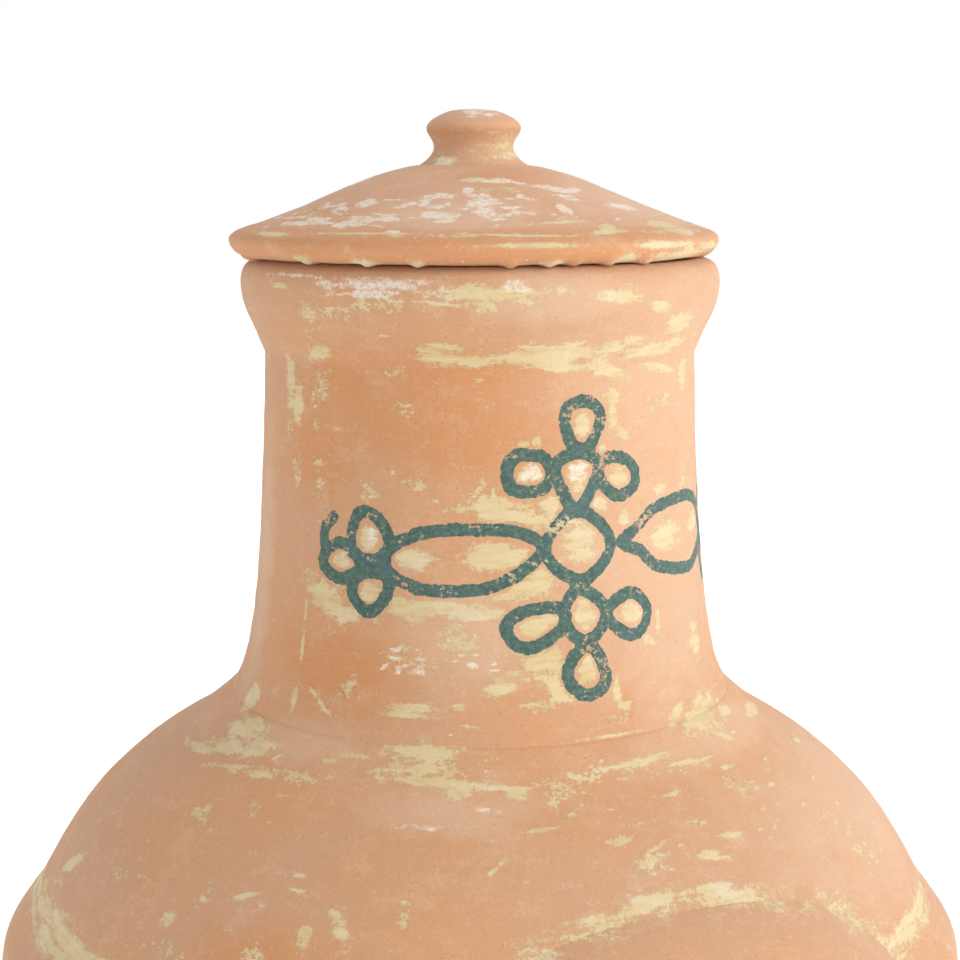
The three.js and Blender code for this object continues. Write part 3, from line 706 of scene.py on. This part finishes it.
def cut_for_lip(piece):
    """Takes out of the belly the straight-sided plug that the lip fills."""
    sides = COLUMNS["lip_plug"]
    outline = mouth_point(lip_outline(), LIP_ROUNDING, np.linspace(0, 2 * math.pi, sides, endpoint=False))
    ends = [np.column_stack([outline[:, 0], np.full(sides, y), outline[:, 1]]) for y in PLUG_Y]
    index = np.arange(2 * sides).reshape(2, sides)
    caps = [index[0].tolist(), index[1][::-1].tolist()]
    plug = mesh_piece("lip_plug", np.vstack(ends), [face[::-1] for face in grid_faces(index)] + caps)
    opening = piece.modifiers.new("mouth", "BOOLEAN")
    opening.operation = "DIFFERENCE"
    opening.solver = "MANIFOLD"
    opening.object = plug
    bpy.context.view_layer.update()
    cut = bpy.data.meshes.new_from_object(piece.evaluated_get(bpy.context.evaluated_depsgraph_get()))
    piece.modifiers.clear()
    piece.data = cut
    cut.shade_smooth()
    bpy.data.objects.remove(plug)


def lip_crease(skin):
    """Rough paint caught in the crease round the lip and in the ledge's crease."""
    round_lip = np.abs(lip_reach(skin.points[:, 0], skin.height) - 1) * 140
    round_lip = np.where(skin.points[:, 1] < 0, round_lip, 1e3)
    upper = np.clip((skin.height - 340) / 60, 0.35, 1)
    in_crease = near(round_lip, 0, 7 * upper, peak=1.5) * (0.62 + 0.45 * fractal(skin.points, 36, 2, 51))
    ledge = body_rise(skin.height) - body_rise(LEDGE_Z)
    width = 5 + 7 * np.clip(noise(skin.points, 90, 61) + 0.3, 0, 1)
    on_ledge = near(ledge, 3, width, peak=1.5) * (0.7 + 0.4 * noise(skin.points, 40, 62))
    return np.maximum(in_crease, on_ledge)


def belly_piece(name, outline, columns):
    piece = turned(name, outline, columns)
    cut_for_lip(piece)
    skin = Skin(piece)
    outside = (skin.radius > body_radius(skin.height) - 4).astype(float)
    wash = paint_body(skin, outside, lip_crease(skin))
    skin.follow_body(outside)
    skin.push((thrown(skin.points) + seam_groove(skin)) * outside + paint_relief(wash, skin.points))
    return piece


def fire_bowl():
    bottom, band = respaced(bowl_bottom(), 4.2), respaced(smooth(BAND), 1.8)
    inner = wall_inside(bowl_line, BELLY_WALL, 12)
    inner = inner[inner[:, 1] > FOOT_Z + BELLY_WALL + 4]
    floor = [(inner[-1][0], FOOT_Z + BELLY_WALL), (0, FOOT_Z + BELLY_WALL)]
    outline = np.vstack([[(0, FOOT_Z), (BOWL_FLAT_RADIUS, FOOT_Z)], bottom, band[1:], inner, floor])
    return belly_piece("clay_fire_bowl", outline, COLUMNS["fire_bowl"])


def belly_dome():
    outline = np.vstack([respaced(dome_line, 1.9), wall_inside(dome_line, DOME_WALL, 10)])
    return belly_piece("clay_belly_dome", outline, COLUMNS["belly_dome"])


# Lid ---------------------------------------------------------------------------------------------

def rim_drops(skin):
    """How far the drops of slip stand out from the lid's edge."""
    drops = np.zeros(len(skin.points))
    for azimuth, proud in RIM_DROPS:
        away = np.hypot(skin.arc_to(azimuth) / 2.8, (skin.height - LID_BOTTOM_Z - 1) / 2.6)
        drops += proud * np.exp(-(away**2))
    return drops


def lid_bump(skin):
    reach = np.hypot(skin.arc_to(LID_BUMP["azimuth"]), skin.radius - LID_BUMP["radius"]) / LID_BUMP["size"]
    return LID_BUMP["proud"] * np.exp(-(reach**2))


def lid_disc():
    outline = joined(respaced(LID_UNDERSIDE, 6), respaced(LID_SEAT, 3), respaced(smooth(LID_RIM), 0.9),
                     respaced(smooth(LID_CONE), 1.5))
    piece = turned("clay_lid_disc", outline, COLUMNS["lid_disc"], LID_CENTRE)
    skin = Skin(piece, LID_CENTRE)
    top = (skin.height > 731).astype(float)
    edge = past(skin.radius, 112, 6)
    outside = np.maximum(top, edge)
    on_rim = (skin.radius > 120) & (skin.height < 735)
    rim_wash = np.where(on_rim, skin.on_rim(RIM_SMEARS), 0)
    wash = np.maximum(skin.on_lid(LID_SOLID) * top, rim_wash)
    warm = np.maximum(skin.on_lid(LID_WARM), edge * (1 - rim_wash))
    skin.paint(wash=wash, flake=0.85 * skin.on_lid(LID_FLAKES) * outside, chalk=skin.on_lid(LID_CHALK) * top,
               tone=warm - skin.on_lid(LID_PALE) * top, ink=NO_INK)
    wobble = 0.7 * edge * fractal(skin.points, 22, 2, 71)
    strays = (thrown(skin.points) + wobble + lid_bump(skin) * top) * outside
    skin.push(strays + rim_drops(skin) * edge + paint_relief(wash, skin.points))
    return piece


def lid_knob():
    outline = np.vstack([[(0, KNOB[0][1])], respaced(smooth(KNOB), 1)])
    piece = turned("clay_lid_knob", outline, COLUMNS["lid_knob"], LID_CENTRE)
    skin = Skin(piece, LID_CENTRE)
    stem = near(skin.height, KNOB_STEM_Z, 9)
    # The stem's side towards the key light, painted paler: a painted highlight.
    painted_highlight = near(skin.arc_to(25), 0, 40, peak=0.9)
    base_left = near(skin.arc_to(-62), 0, 10, peak=1.3) * (1 - past(skin.height, KNOB_FOOT_Z, 2))
    crown = past(skin.height, KNOB_CROWN_Z, 4) * np.maximum(0.3, near(skin.arc_to(-10), 0, 14))
    bulge = near(skin.height, KNOB_BULGE_Z, 2.5)
    # Slip on the stem, with more of it and a paler tone on the side towards the key light: a painted
    # highlight.
    wash = np.maximum(stem * (0.3 + 0.45 * painted_highlight), base_left)
    skin.paint(wash=wash, flake=0.6 * stem, chalk=np.maximum(crown, 0.8 * base_left),
               tone=0.6 * bulge - 0.5 * stem * painted_highlight, ink=NO_INK)
    skin.push(0.45 * fractal(skin.points, 24, 3, 81) * past(skin.height, KNOB_FOOT_Z - 2, 3))
    return piece


def lid_spigot():
    bottom, top = low("lid_spigot").z, high("lid_spigot").z
    outer = [(82, bottom), (92, bottom), (94, bottom + 3), (94, top)]
    inner = [(80, top), (80, bottom + 3), (82, bottom)]
    piece = turned("clay_lid_spigot", respaced(outer + inner, 2)[:-1], COLUMNS["lid_spigot"], LID_CENTRE)
    skin = Skin(piece, LID_CENTRE)
    skin.paint(wash=0, flake=0, chalk=0, tone=0.3, ink=NO_INK)
    skin.push(0.25 * fractal(skin.points, 14, 2, 91))
    return piece


# Sand, grate and stand ---------------------------------------------------------------------------

def sand_bed():
    inner = wall_inside(bowl_line, BELLY_WALL + FIT_GAP, 6)[::-1]
    inner = inner[(inner[:, 1] > FOOT_Z + BELLY_WALL + 4) & (inner[:, 1] < SAND_Z - 2)]
    start, rim = (0, FOOT_Z + BELLY_WALL + 1), (inner[-1][0] + 1, SAND_Z - 0.5)
    top = respaced([rim, (0, SAND_Z - 0.5)], 2)
    outline = np.vstack([[start, (inner[0][0], start[1])], inner, top])
    piece = turned("sand_heap", outline, COLUMNS["sand_bed"])
    skin = Skin(piece)
    on_top = (skin.height > SAND_Z - 1).astype(float) * (skin.radius < inner[-1][0] - 1)
    ripples = 0.5 * fractal(skin.points, 40, 2, 101) + 0.45 * fractal(skin.points, 4, 2, 102) - 0.6
    skin.push(ripples * on_top)
    return piece


def grate_pieces():
    ring_low, ring_high = low("grate_ring"), high("grate_ring")
    bar = ring_high.z - ring_low.z
    ring_z = (ring_low.z + ring_high.z) / 2
    radius = ring_high.x - bar / 2
    outline = round_section(bar, 16) + (radius, ring_z)
    made = {"grate_ring": turned("iron_grate_ring", outline, COLUMNS["grate_ring"])}
    for number in range(1, 6):
        node = f"grate_bar_{number}"
        start, end = low(node), high(node)
        x, z = (start.x + end.x) / 2, (start.z + end.z) / 2
        path = respaced([(x, start.y + 0.5, z), (x, end.y - 0.5, z)], 4)
        made[node] = swept(f"iron_{node}", path, round_section(bar), (1, 0, 0))
    for number in range(1, 4):
        node = f"grate_leg_{number}"
        start, end = low(node), high(node)
        x, y = (start.x + end.x) / 2, (start.y + end.y) / 2
        path = respaced([(x, y, start.z), (x, y, end.z + 1)], 3)
        made[node] = swept(f"iron_{node}", path, round_section(bar), (1, 0, 0))
    for number, piece in enumerate(made.values()):
        skin = Skin(piece)
        skin.push(0.22 * fractal(skin.points, 7, 2, 110 + number))
    return made


def leg_line():
    """The middle line of a leg, in (radius, height): down the hoop, out in a curve and flat at the foot."""
    middle = high("stand_hoop").x + FIT_GAP + LEG_THICKNESS / 2
    sole = SOLE_Z + FIT_GAP + LEG_THICKNESS / 2
    a, b = np.array([middle, LEG_BEND["start_z"]]), np.array([middle, LEG_BEND["pull_z"]])
    c, d = np.array([LEG_BEND["sweep_radius"], sole]), np.array([LEG_BEND["sole_radius"], sole])
    t = np.linspace(0, 1, 48)[:, None]
    curve = a * (1 - t) ** 3 + 3 * b * t * (1 - t) ** 2 + 3 * c * t**2 * (1 - t) + d * t**3
    reach = high("stand_leg_1").y - 0.5
    return respaced(np.vstack([[(middle, high("stand_leg_1").z - 0.5)], curve, [(reach, sole)]]), 3)


def stand_rings():
    """The flat hoop that the bowl sits in and the round ring that ties the legs."""
    hoop_low, hoop_high = low("stand_hoop"), high("stand_hoop")
    centre = np.array([hoop_high.x - HOOP_THICKNESS / 2, (hoop_low.z + hoop_high.z) / 2])
    section = flat_section(HOOP_THICKNESS, hoop_high.z - hoop_low.z) + centre
    section = respaced([*section, section[0]], 2)[:-1]
    tie_low, tie_high = low("stand_tie_ring"), high("stand_tie_ring")
    bar = tie_high.z - tie_low.z
    tie_section = round_section(bar, 18) + (tie_high.x - bar / 2, (tie_low.z + tie_high.z) / 2)
    return {"stand_hoop": turned("iron_stand_hoop", section, COLUMNS["stand_ring"]),
            "stand_tie_ring": turned("iron_stand_tie_ring", tie_section, COLUMNS["stand_ring"])}


def stand_leg(number):
    angle = math.pi / 2 + 2 * math.pi * (number - 1) / 3
    outward = np.array([math.cos(angle), math.sin(angle), 0])
    side = (-math.sin(angle), math.cos(angle), 0)
    path = [outward * radius + (0, 0, height) for radius, height in leg_line()]
    return swept(f"iron_stand_leg_{number}", path, flat_section(LEG_WIDTH, LEG_THICKNESS, 1.5), side)


def stand_foot(number):
    foot_low, foot_high = low(f"stand_foot_{number}"), high(f"stand_foot_{number}")
    centre = ((foot_low + foot_high) / 2).xy
    radius = (foot_high.x - foot_low.x) / 2
    top = foot_high.z
    side = [(radius - 0.8, 0), (radius, 1), (radius, top - 1.4), (radius - 1.4, top)]
    outline = respaced([(0, 0), *side, (0, top)], 1.2)
    return turned(f"iron_stand_foot_{number}", outline, COLUMNS["stand_foot"], centre)


def stand_pieces():
    made = stand_rings()
    for number in range(1, 4):
        made[f"stand_leg_{number}"] = stand_leg(number)
        made[f"stand_foot_{number}"] = stand_foot(number)
    for number, piece in enumerate(made.values()):
        skin = Skin(piece)
        above_ground = past(skin.height, 0.5, 2)
        skin.push((0.2 * fractal(skin.points, 16, 3, 130 + number) - 0.12) * above_ground)
    return made


# Materials ---------------------------------------------------------------------------------------

def colour(red, green, blue):
    """A colour as it looks under the studio light, as the linear values that shaders take."""
    def linear(value):
        value /= 255
        plain = value / 12.92 if value <= 0.04045 else ((value + 0.055) / 1.055) ** 2.4
        return plain / LIGHT_GAIN
    return (linear(red), linear(green), linear(blue), 1)


class Shader:
    """A material's nodes, added with few words. Places in textures are object coordinates in metres."""

    def __init__(self, name):
        self.material = bpy.data.materials.new(name)
        self.material.use_nodes = True
        self.tree = self.material.node_tree
        self.surface = self.tree.nodes["Principled BSDF"]
        self.place = self.tree.nodes.new("ShaderNodeTexCoord").outputs["Object"]

    def put(self, socket, value):
        if isinstance(value, bpy.types.NodeSocket):
            self.tree.links.new(value, socket)
        else:
            socket.default_value = value

    def math(self, operation, a, b=0.0, clamp=False):
        node = self.tree.nodes.new("ShaderNodeMath")
        node.operation = operation
        node.use_clamp = clamp
        self.put(node.inputs[0], a)
        self.put(node.inputs[1], b)
        return node.outputs[0]

    def stretched(self, x, y, z):
        node = self.tree.nodes.new("ShaderNodeMapping")
        self.put(node.inputs["Vector"], self.place)
        node.inputs["Scale"].default_value = (x, y, z)
        return node.outputs[0]

    def noise(self, size, detail=2.0, roughness=0.5, place=None, distortion=0.0):
        """Noise from about 0.2 to 0.8, in lumps about size mm across."""
        node = self.tree.nodes.new("ShaderNodeTexNoise")
        self.put(node.inputs["Vector"], place or self.place)
        node.inputs["Scale"].default_value = 1 / (size * MM)
        node.inputs["Detail"].default_value = detail
        node.inputs["Roughness"].default_value = roughness
        node.inputs["Distortion"].default_value = distortion
        return node.outputs["Fac"]

    def veins(self, size):
        """Nearly 0 along a net of fine wandering lines, and up to about 0.3 between them."""
        return self.math("ABSOLUTE", self.math("SUBTRACT", self.noise(size, 3, 0.6, distortion=0.8), 0.5))

    def attribute(self, name):
        node = self.tree.nodes.new("ShaderNodeAttribute")
        node.attribute_name = name
        return node.outputs["Fac"]

    def between(self, value, start, end, low_value=0.0, high_value=1.0):
        """Rises smoothly from one value to another as the input goes from start to end."""
        node = self.tree.nodes.new("ShaderNodeMapRange")
        node.interpolation_type = "SMOOTHSTEP"
        self.put(node.inputs["Value"], value)
        node.inputs["From Min"].default_value = start
        node.inputs["From Max"].default_value = end
        node.inputs["To Min"].default_value = low_value
        node.inputs["To Max"].default_value = high_value
        return node.outputs["Result"]

    def mix(self, share, a, b, blend="MIX"):
        node = self.tree.nodes.new("ShaderNodeMix")
        node.data_type = "RGBA"
        node.blend_type = blend
        self.put(node.inputs["Factor"], share)
        self.put(node.inputs["A"], a)
        self.put(node.inputs["B"], b)
        return node.outputs["Result"]

    def grey(self, value):
        node = self.tree.nodes.new("ShaderNodeCombineColor")
        for socket in node.inputs:
            self.put(socket, value)
        return node.outputs[0]

    def add(self, *values):
        total = values[0]
        for value in values[1:]:
            total = self.math("ADD", total, value)
        return total

    def times(self, a, b):
        return self.math("MULTIPLY", a, b)

    def ragged(self, value, *noises):
        """The value with amounts of some noises centred on it, so that its edges turn ragged."""
        for noise, amount in noises:
            value = self.math("ADD", value, self.times(self.math("SUBTRACT", noise, 0.5), amount))
        return value

    def bump(self, height, depth, under=None):
        node = self.tree.nodes.new("ShaderNodeBump")
        node.inputs["Distance"].default_value = depth * MM
        self.put(node.inputs["Height"], height)
        if under is not None:
            self.put(node.inputs["Normal"], under)
        return node.outputs["Normal"]

    def finish(self, base, roughness, normal, **fixed):
        self.put(self.surface.inputs["Base Color"], base)
        self.put(self.surface.inputs["Roughness"], roughness)
        self.put(self.surface.inputs["Normal"], normal)
        for name, value in fixed.items():
            self.surface.inputs[name.replace("_", " ")].default_value = value
        return self.material


class ClayShader(Shader):
    """Fired clay, and the worn yellow wash, chalk and green motif on it."""

    def __init__(self, name):
        super().__init__(name)
        self.grain = self.noise(0.8, 3, 0.75)
        self.crumbs = self.noise(2.4, 5, 0.75)
        self.flecks = self.noise(6, 5, 0.8, self.stretched(0.7, 0.7, 1.3))
        self.streaks = self.noise(7, 5, 0.65, self.stretched(0.3, 0.3, 1.7))
        self.cloud = self.noise(26, 5, 0.62, distortion=0.6)
        self.pits = self.between(self.noise(3.1, 2, 0.9), 0.69, 0.76)

    def bare_clay(self, orange, pink, pale):
        """Clouds of orange and pink under pale haze and flecks, with dark pits and light specks."""
        blotch = self.noise(85, 3, 0.5)
        tone = self.attribute("tone")
        base = self.mix(self.between(self.ragged(blotch, (self.cloud, 0.35)), 0.34, 0.66), pink, orange)
        base = self.mix(self.math("MULTIPLY", tone, 0.62, clamp=True), base, colour(216, 148, 92))
        # Negative tone: paler clay, and the painted highlight on the body's right-front and on the knob's lit
        # side.
        base = self.mix(self.math("MULTIPLY", tone, -0.55, clamp=True), base, pale)
        haze = self.ragged(self.cloud, (self.streaks, 0.4), (self.crumbs, 0.5))
        base = self.mix(self.between(haze, 0.48, 0.76, 0, 0.34), base, pale)
        light = self.between(self.ragged(self.flecks, (self.grain, 0.8)), 0.58, 0.76, 0, 0.25)
        base = self.mix(light, base, colour(238, 214, 190))
        shade = self.add(0.81, self.times(self.grain, 0.25), self.times(self.crumbs, 0.14))
        base = self.mix(1.0, base, self.grey(shade), "MULTIPLY")
        base = self.mix(self.times(self.pits, 0.25), base, colour(150, 96, 62))
        specks = self.between(self.noise(4.3, 3, 0.9), 0.66, 0.71)
        return self.mix(self.times(specks, 0.45), base, colour(240, 222, 192))

    def wash_cover(self):
        """Where the yellow wash still holds: a thin veil, a thicker coat, and loose scraps."""
        wash = self.attribute("wash")
        edge = self.ragged(wash, (self.streaks, 1.8), (self.crumbs, 1.7), (self.flecks, 1.2))
        veil = self.between(edge, 0.25, 0.7, 0, 0.38)
        coat = self.between(edge, 0.56, 0.7, 0, 0.88)
        flake = self.times(self.attribute("flake"), 0.8)
        scraps = self.ragged(flake, (self.flecks, 3.4), (self.crumbs, 1.8))
        scraps = self.between(scraps, 0.72, 0.85, 0, 0.82)
        cover = self.math("MAXIMUM", self.math("MAXIMUM", veil, coat), scraps)
        return self.times(cover, self.between(self.grain, 0.24, 0.44, 0.55, 1))

    def straw(self):
        base = self.mix(self.between(self.streaks, 0.36, 0.64), colour(222, 199, 146), colour(231, 214, 168))
        base = self.mix(self.between(self.cloud, 0.45, 0.7, 0, 0.7), base, colour(235, 222, 190))
        return self.mix(self.between(self.flecks, 0.56, 0.7, 0, 0.55), base, colour(208, 178, 124))

    def chalk_cover(self):
        """Where the bloom lies, with fine cracks and powdery gaps in it."""
        cover = self.ragged(self.attribute("chalk"), (self.streaks, 2.2), (self.flecks, 2.6))
        cracks = self.between(self.veins(7), 0.0, 0.025, 0.25, 1)
        gaps = self.between(self.ragged(self.crumbs, (self.grain, 0.6)), 0.36, 0.5, 0.3, 1)
        return self.times(self.times(self.between(cover, 0.52, 0.98, 0, 0.85), cracks), gaps)

    def ink_cover(self):
        """Inside the brush strokes, with a ragged edge and worn places."""
        ink = self.times(self.attribute("ink"), 1 / 3)
        edge = self.ragged(ink, (self.noise(6, 4, 0.7), 0.9), (self.crumbs, 0.45))
        painted = self.between(edge, 0.06, -0.06)
        worn = self.ragged(self.noise(24, 2, 0.5), (self.crumbs, 1.4), (self.flecks, 1.2))
        worn = self.between(worn, 0.68, 0.78, 0, 0.85)
        return self.times(painted, self.math("SUBTRACT", 1.0, worn))

    def green(self):
        base = self.mix(self.between(self.crumbs, 0.38, 0.66), colour(68, 98, 90), colour(104, 128, 116))
        base = self.mix(self.between(self.cloud, 0.5, 0.68, 0, 0.5), base, colour(92, 116, 122))
        return self.mix(self.between(self.grain, 0.58, 0.74, 0, 0.5), base, colour(168, 178, 160))


def clay_material(name, orange, pink, pale):
    s = ClayShader(name)
    wash = s.wash_cover()
    chalk = s.chalk_cover()
    base = s.mix(wash, s.bare_clay(orange, pink, pale), s.straw())
    base = s.mix(chalk, base, colour(246, 236, 220))
    base = s.mix(s.ink_cover(), base, s.green())
    relief = s.bump(s.add(s.times(wash, 0.22), s.times(s.grain, 0.6), s.times(s.crumbs, 0.45)), 0.42)
    relief = s.bump(s.add(s.streaks, s.times(s.pits, -0.5)), 0.35, relief)
    roughness = s.add(0.74, s.times(s.grain, 0.16), s.times(chalk, 0.06))
    return s.finish(base, roughness, relief, Specular_IOR_Level=0.3, Sheen_Weight=0.1, Sheen_Roughness=0.5)


def sand_material():
    s = Shader("dry_sand")
    grains = s.noise(1.1, 2, 0.8)
    base = s.mix(s.between(grains, 0.35, 0.65), colour(168, 138, 98), colour(222, 200, 160))
    base = s.mix(s.between(s.noise(34, 3), 0.4, 0.7, 0, 0.4), base, colour(190, 160, 118))
    base = s.mix(s.between(s.noise(1.6, 1, 0.9), 0.68, 0.72, 0, 0.7), base, colour(96, 78, 60))
    return s.finish(base, s.add(0.82, s.times(grains, 0.15)), s.bump(grains, 0.9))


def iron_material(name, dark, worn, rust, rust_share, metal, depth):
    """Black iron with a hammered face, rubbed high spots and patches of rust."""
    s = Shader(name)
    hammered = s.noise(11, 2, 0.5)
    scale = s.noise(2.2, 4, 0.75)
    patches = s.ragged(s.noise(30, 4, 0.65), (scale, 0.5))
    rusty = s.between(patches, 0.74 - rust_share, 0.84 - rust_share)
    base = s.mix(s.between(scale, 0.45, 0.75), dark, worn)
    base = s.mix(s.times(rusty, 0.85), base, s.mix(s.between(scale, 0.4, 0.65), rust, colour(138, 82, 48)))
    roughness = s.add(0.42, s.times(scale, 0.22), s.times(rusty, 0.28))
    relief = s.bump(scale, depth, s.bump(hammered, 1.4))
    metallic = s.times(s.math("SUBTRACT", 1.0, rusty), metal)
    s.put(s.surface.inputs["Metallic"], metallic)
    return s.finish(base, roughness, relief)


def fastener_material():
    s = Shader("blackened_steel")
    turned_lines = s.noise(0.8, 2, 0.6, s.stretched(1, 1, 0.2))
    wear = s.noise(3, 3, 0.7)
    base = s.mix(s.between(wear, 0.45, 0.7), colour(52, 50, 48), colour(104, 98, 90))
    base = s.mix(s.between(s.noise(6, 3, 0.7), 0.62, 0.72, 0, 0.7), base, colour(122, 78, 50))
    s.surface.inputs["Metallic"].default_value = 0.85
    return s.finish(base, s.add(0.32, s.times(wear, 0.25)), s.bump(turned_lines, 0.12))


# Put together ------------------------------------------------------------------------------------

def dress(piece, node, body, material):
    """Gives a new piece its material and ties it to the CAD node that it stands for."""
    piece.data.materials.clear()
    piece.data.materials.append(material)
    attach(piece, body)
    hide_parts(node)


terracotta = clay_material("terracotta", orange=colour(218, 163, 119), pink=colour(214, 165, 129),
                           pale=colour(227, 191, 160))
lid_clay = clay_material("lid_terracotta", orange=colour(221, 168, 127), pink=colour(217, 168, 135),
                         pale=colour(229, 193, 164))
wrought_iron = iron_material("painted_wrought_iron", dark=colour(34, 33, 31), worn=colour(62, 59, 54),
                             rust=colour(92, 54, 34), rust_share=0.02, metal=0.35, depth=0.35)
grate_iron = iron_material("scaled_grate_iron", dark=colour(46, 43, 41), worn=colour(78, 70, 63),
                           rust=colour(104, 60, 36), rust_share=0.16, metal=0.6, depth=0.6)

dress(chimney_neck(), "chimney_neck", "clay_body", terracotta)
dress(belly_dome(), "belly_dome", "clay_body", terracotta)
dress(fire_bowl(), "fire_bowl", "clay_body", terracotta)
dress(mouth_lip(), "mouth_lip", "clay_body", terracotta)
dress(sand_bed(), "sand_bed", "clay_body", sand_material())
dress(lid_disc(), "lid_disc", "lid", lid_clay)
dress(lid_knob(), "lid_knob", "lid", lid_clay)
dress(lid_spigot(), "lid_spigot", "lid", lid_clay)
for node, piece in grate_pieces().items():
    dress(piece, node, "fire_grate", grate_iron)
for node, piece in stand_pieces().items():
    dress(piece, node, "stand", wrought_iron)

fastener = fastener_material()
for name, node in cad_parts.items():
    if name.startswith(("stand_bolt", "stand_nut")):
        for material_slot in node.material_slots:
            material_slot.link = "OBJECT"
            material_slot.material = fastener
        rounded = node.modifiers.new("edges", "BEVEL")
        rounded.width = 0.35 * MM
        rounded.segments = 2
        rounded.limit_method = "ANGLE"


# Camera, floor and light -------------------------------------------------------------------------

CAMERA_AIM = Vector((0, 0, 0.6))
CAMERA_DISTANCE = 1.0726
CAMERA_AZIMUTH = -24.5
CAMERA_ABOVE = 8.93
CAMERA_LENS = 74.25
CAMERA_SENSOR = 36
KEY_AZIMUTH = 42
KEY_ABOVE = 26
KEY_DISTANCE = 3.2
KEY_SIZE = 1.6
KEY_POWER = 50
FLOOR_RADIUS = 12000
FLOOR_SIDES = 96
FLOOR_GLOW = 0.5
# How the light from all round fades: along which axis, from where to where, and to what share.
FADES = [("Z", 0.15, 0.9, 0.85), ("X", -0.1, -0.9, 0.74)]


def around(azimuth, elevation, distance, centre=CAMERA_AIM):
    """A place seen from the centre at an azimuth and elevation."""
    a, e = math.radians(azimuth), math.radians(elevation)
    return centre + distance * Vector((math.sin(a) * math.cos(e), -math.cos(a) * math.cos(e), math.sin(e)))


def facing(place, target=CAMERA_AIM):
    return (target - place).to_track_quat("-Z", "Y").to_euler()


def add_camera():
    data = bpy.data.cameras.new("camera")
    data.lens = CAMERA_LENS
    data.sensor_width = CAMERA_SENSOR
    camera = bpy.data.objects.new("camera", data)
    camera.location = around(CAMERA_AZIMUTH, CAMERA_ABOVE, CAMERA_DISTANCE)
    camera.rotation_euler = facing(camera.location)
    bpy.context.scene.collection.objects.link(camera)
    bpy.context.scene.camera = camera


def add_key_light():
    data = bpy.data.lights.new("key", "AREA")
    data.shape = "DISK"
    data.size = KEY_SIZE
    data.energy = KEY_POWER
    data.color = (1, 0.985, 0.96)
    key = bpy.data.objects.new("key", data)
    key.location = around(KEY_AZIMUTH, KEY_ABOVE, KEY_DISTANCE)
    key.rotation_euler = facing(key.location)
    bpy.context.scene.collection.objects.link(key)


def add_floor():
    angle = np.linspace(0, 2 * math.pi, FLOOR_SIDES, endpoint=False)
    ring = FLOOR_RADIUS * np.column_stack([np.cos(angle), np.sin(angle), np.zeros(FLOOR_SIDES)])
    floor = mesh_piece("studio_floor", ring, [range(FLOOR_SIDES)])
    s = Shader("studio_white")
    s.surface.inputs["Emission Color"].default_value = (1, 1, 1, 1)
    s.surface.inputs["Emission Strength"].default_value = FLOOR_GLOW
    floor.data.materials.append(s.finish(colour(255, 254, 252), 0.9, s.bump(s.noise(3, 2), 0.05)))


def add_world():
    """White all round at eye level, a little dimmer overhead and dimmer still to the left."""
    world = bpy.data.worlds.new("studio")
    world.use_nodes = True
    tree = world.node_tree
    split = tree.nodes.new("ShaderNodeSeparateXYZ")
    tree.links.new(tree.nodes.new("ShaderNodeTexCoord").outputs["Generated"], split.inputs[0])
    strength = tree.nodes.new("ShaderNodeMath")
    strength.operation = "MULTIPLY"
    for number, (axis, start, end, dim) in enumerate(FADES):
        fade = tree.nodes.new("ShaderNodeMapRange")
        fade.inputs["From Min"].default_value = start
        fade.inputs["From Max"].default_value = end
        fade.inputs["To Min"].default_value = 1
        fade.inputs["To Max"].default_value = dim
        tree.links.new(split.outputs[axis], fade.inputs["Value"])
        tree.links.new(fade.outputs["Result"], strength.inputs[number])
    tree.links.new(strength.outputs[0], tree.nodes["Background"].inputs["Strength"])
    tree.nodes["Background"].inputs["Color"].default_value = (1, 1, 1, 1)
    bpy.context.scene.world = world


add_camera()
add_key_light()
add_floor()
add_world()
bpy.context.scene.view_settings.view_transform = "Standard"
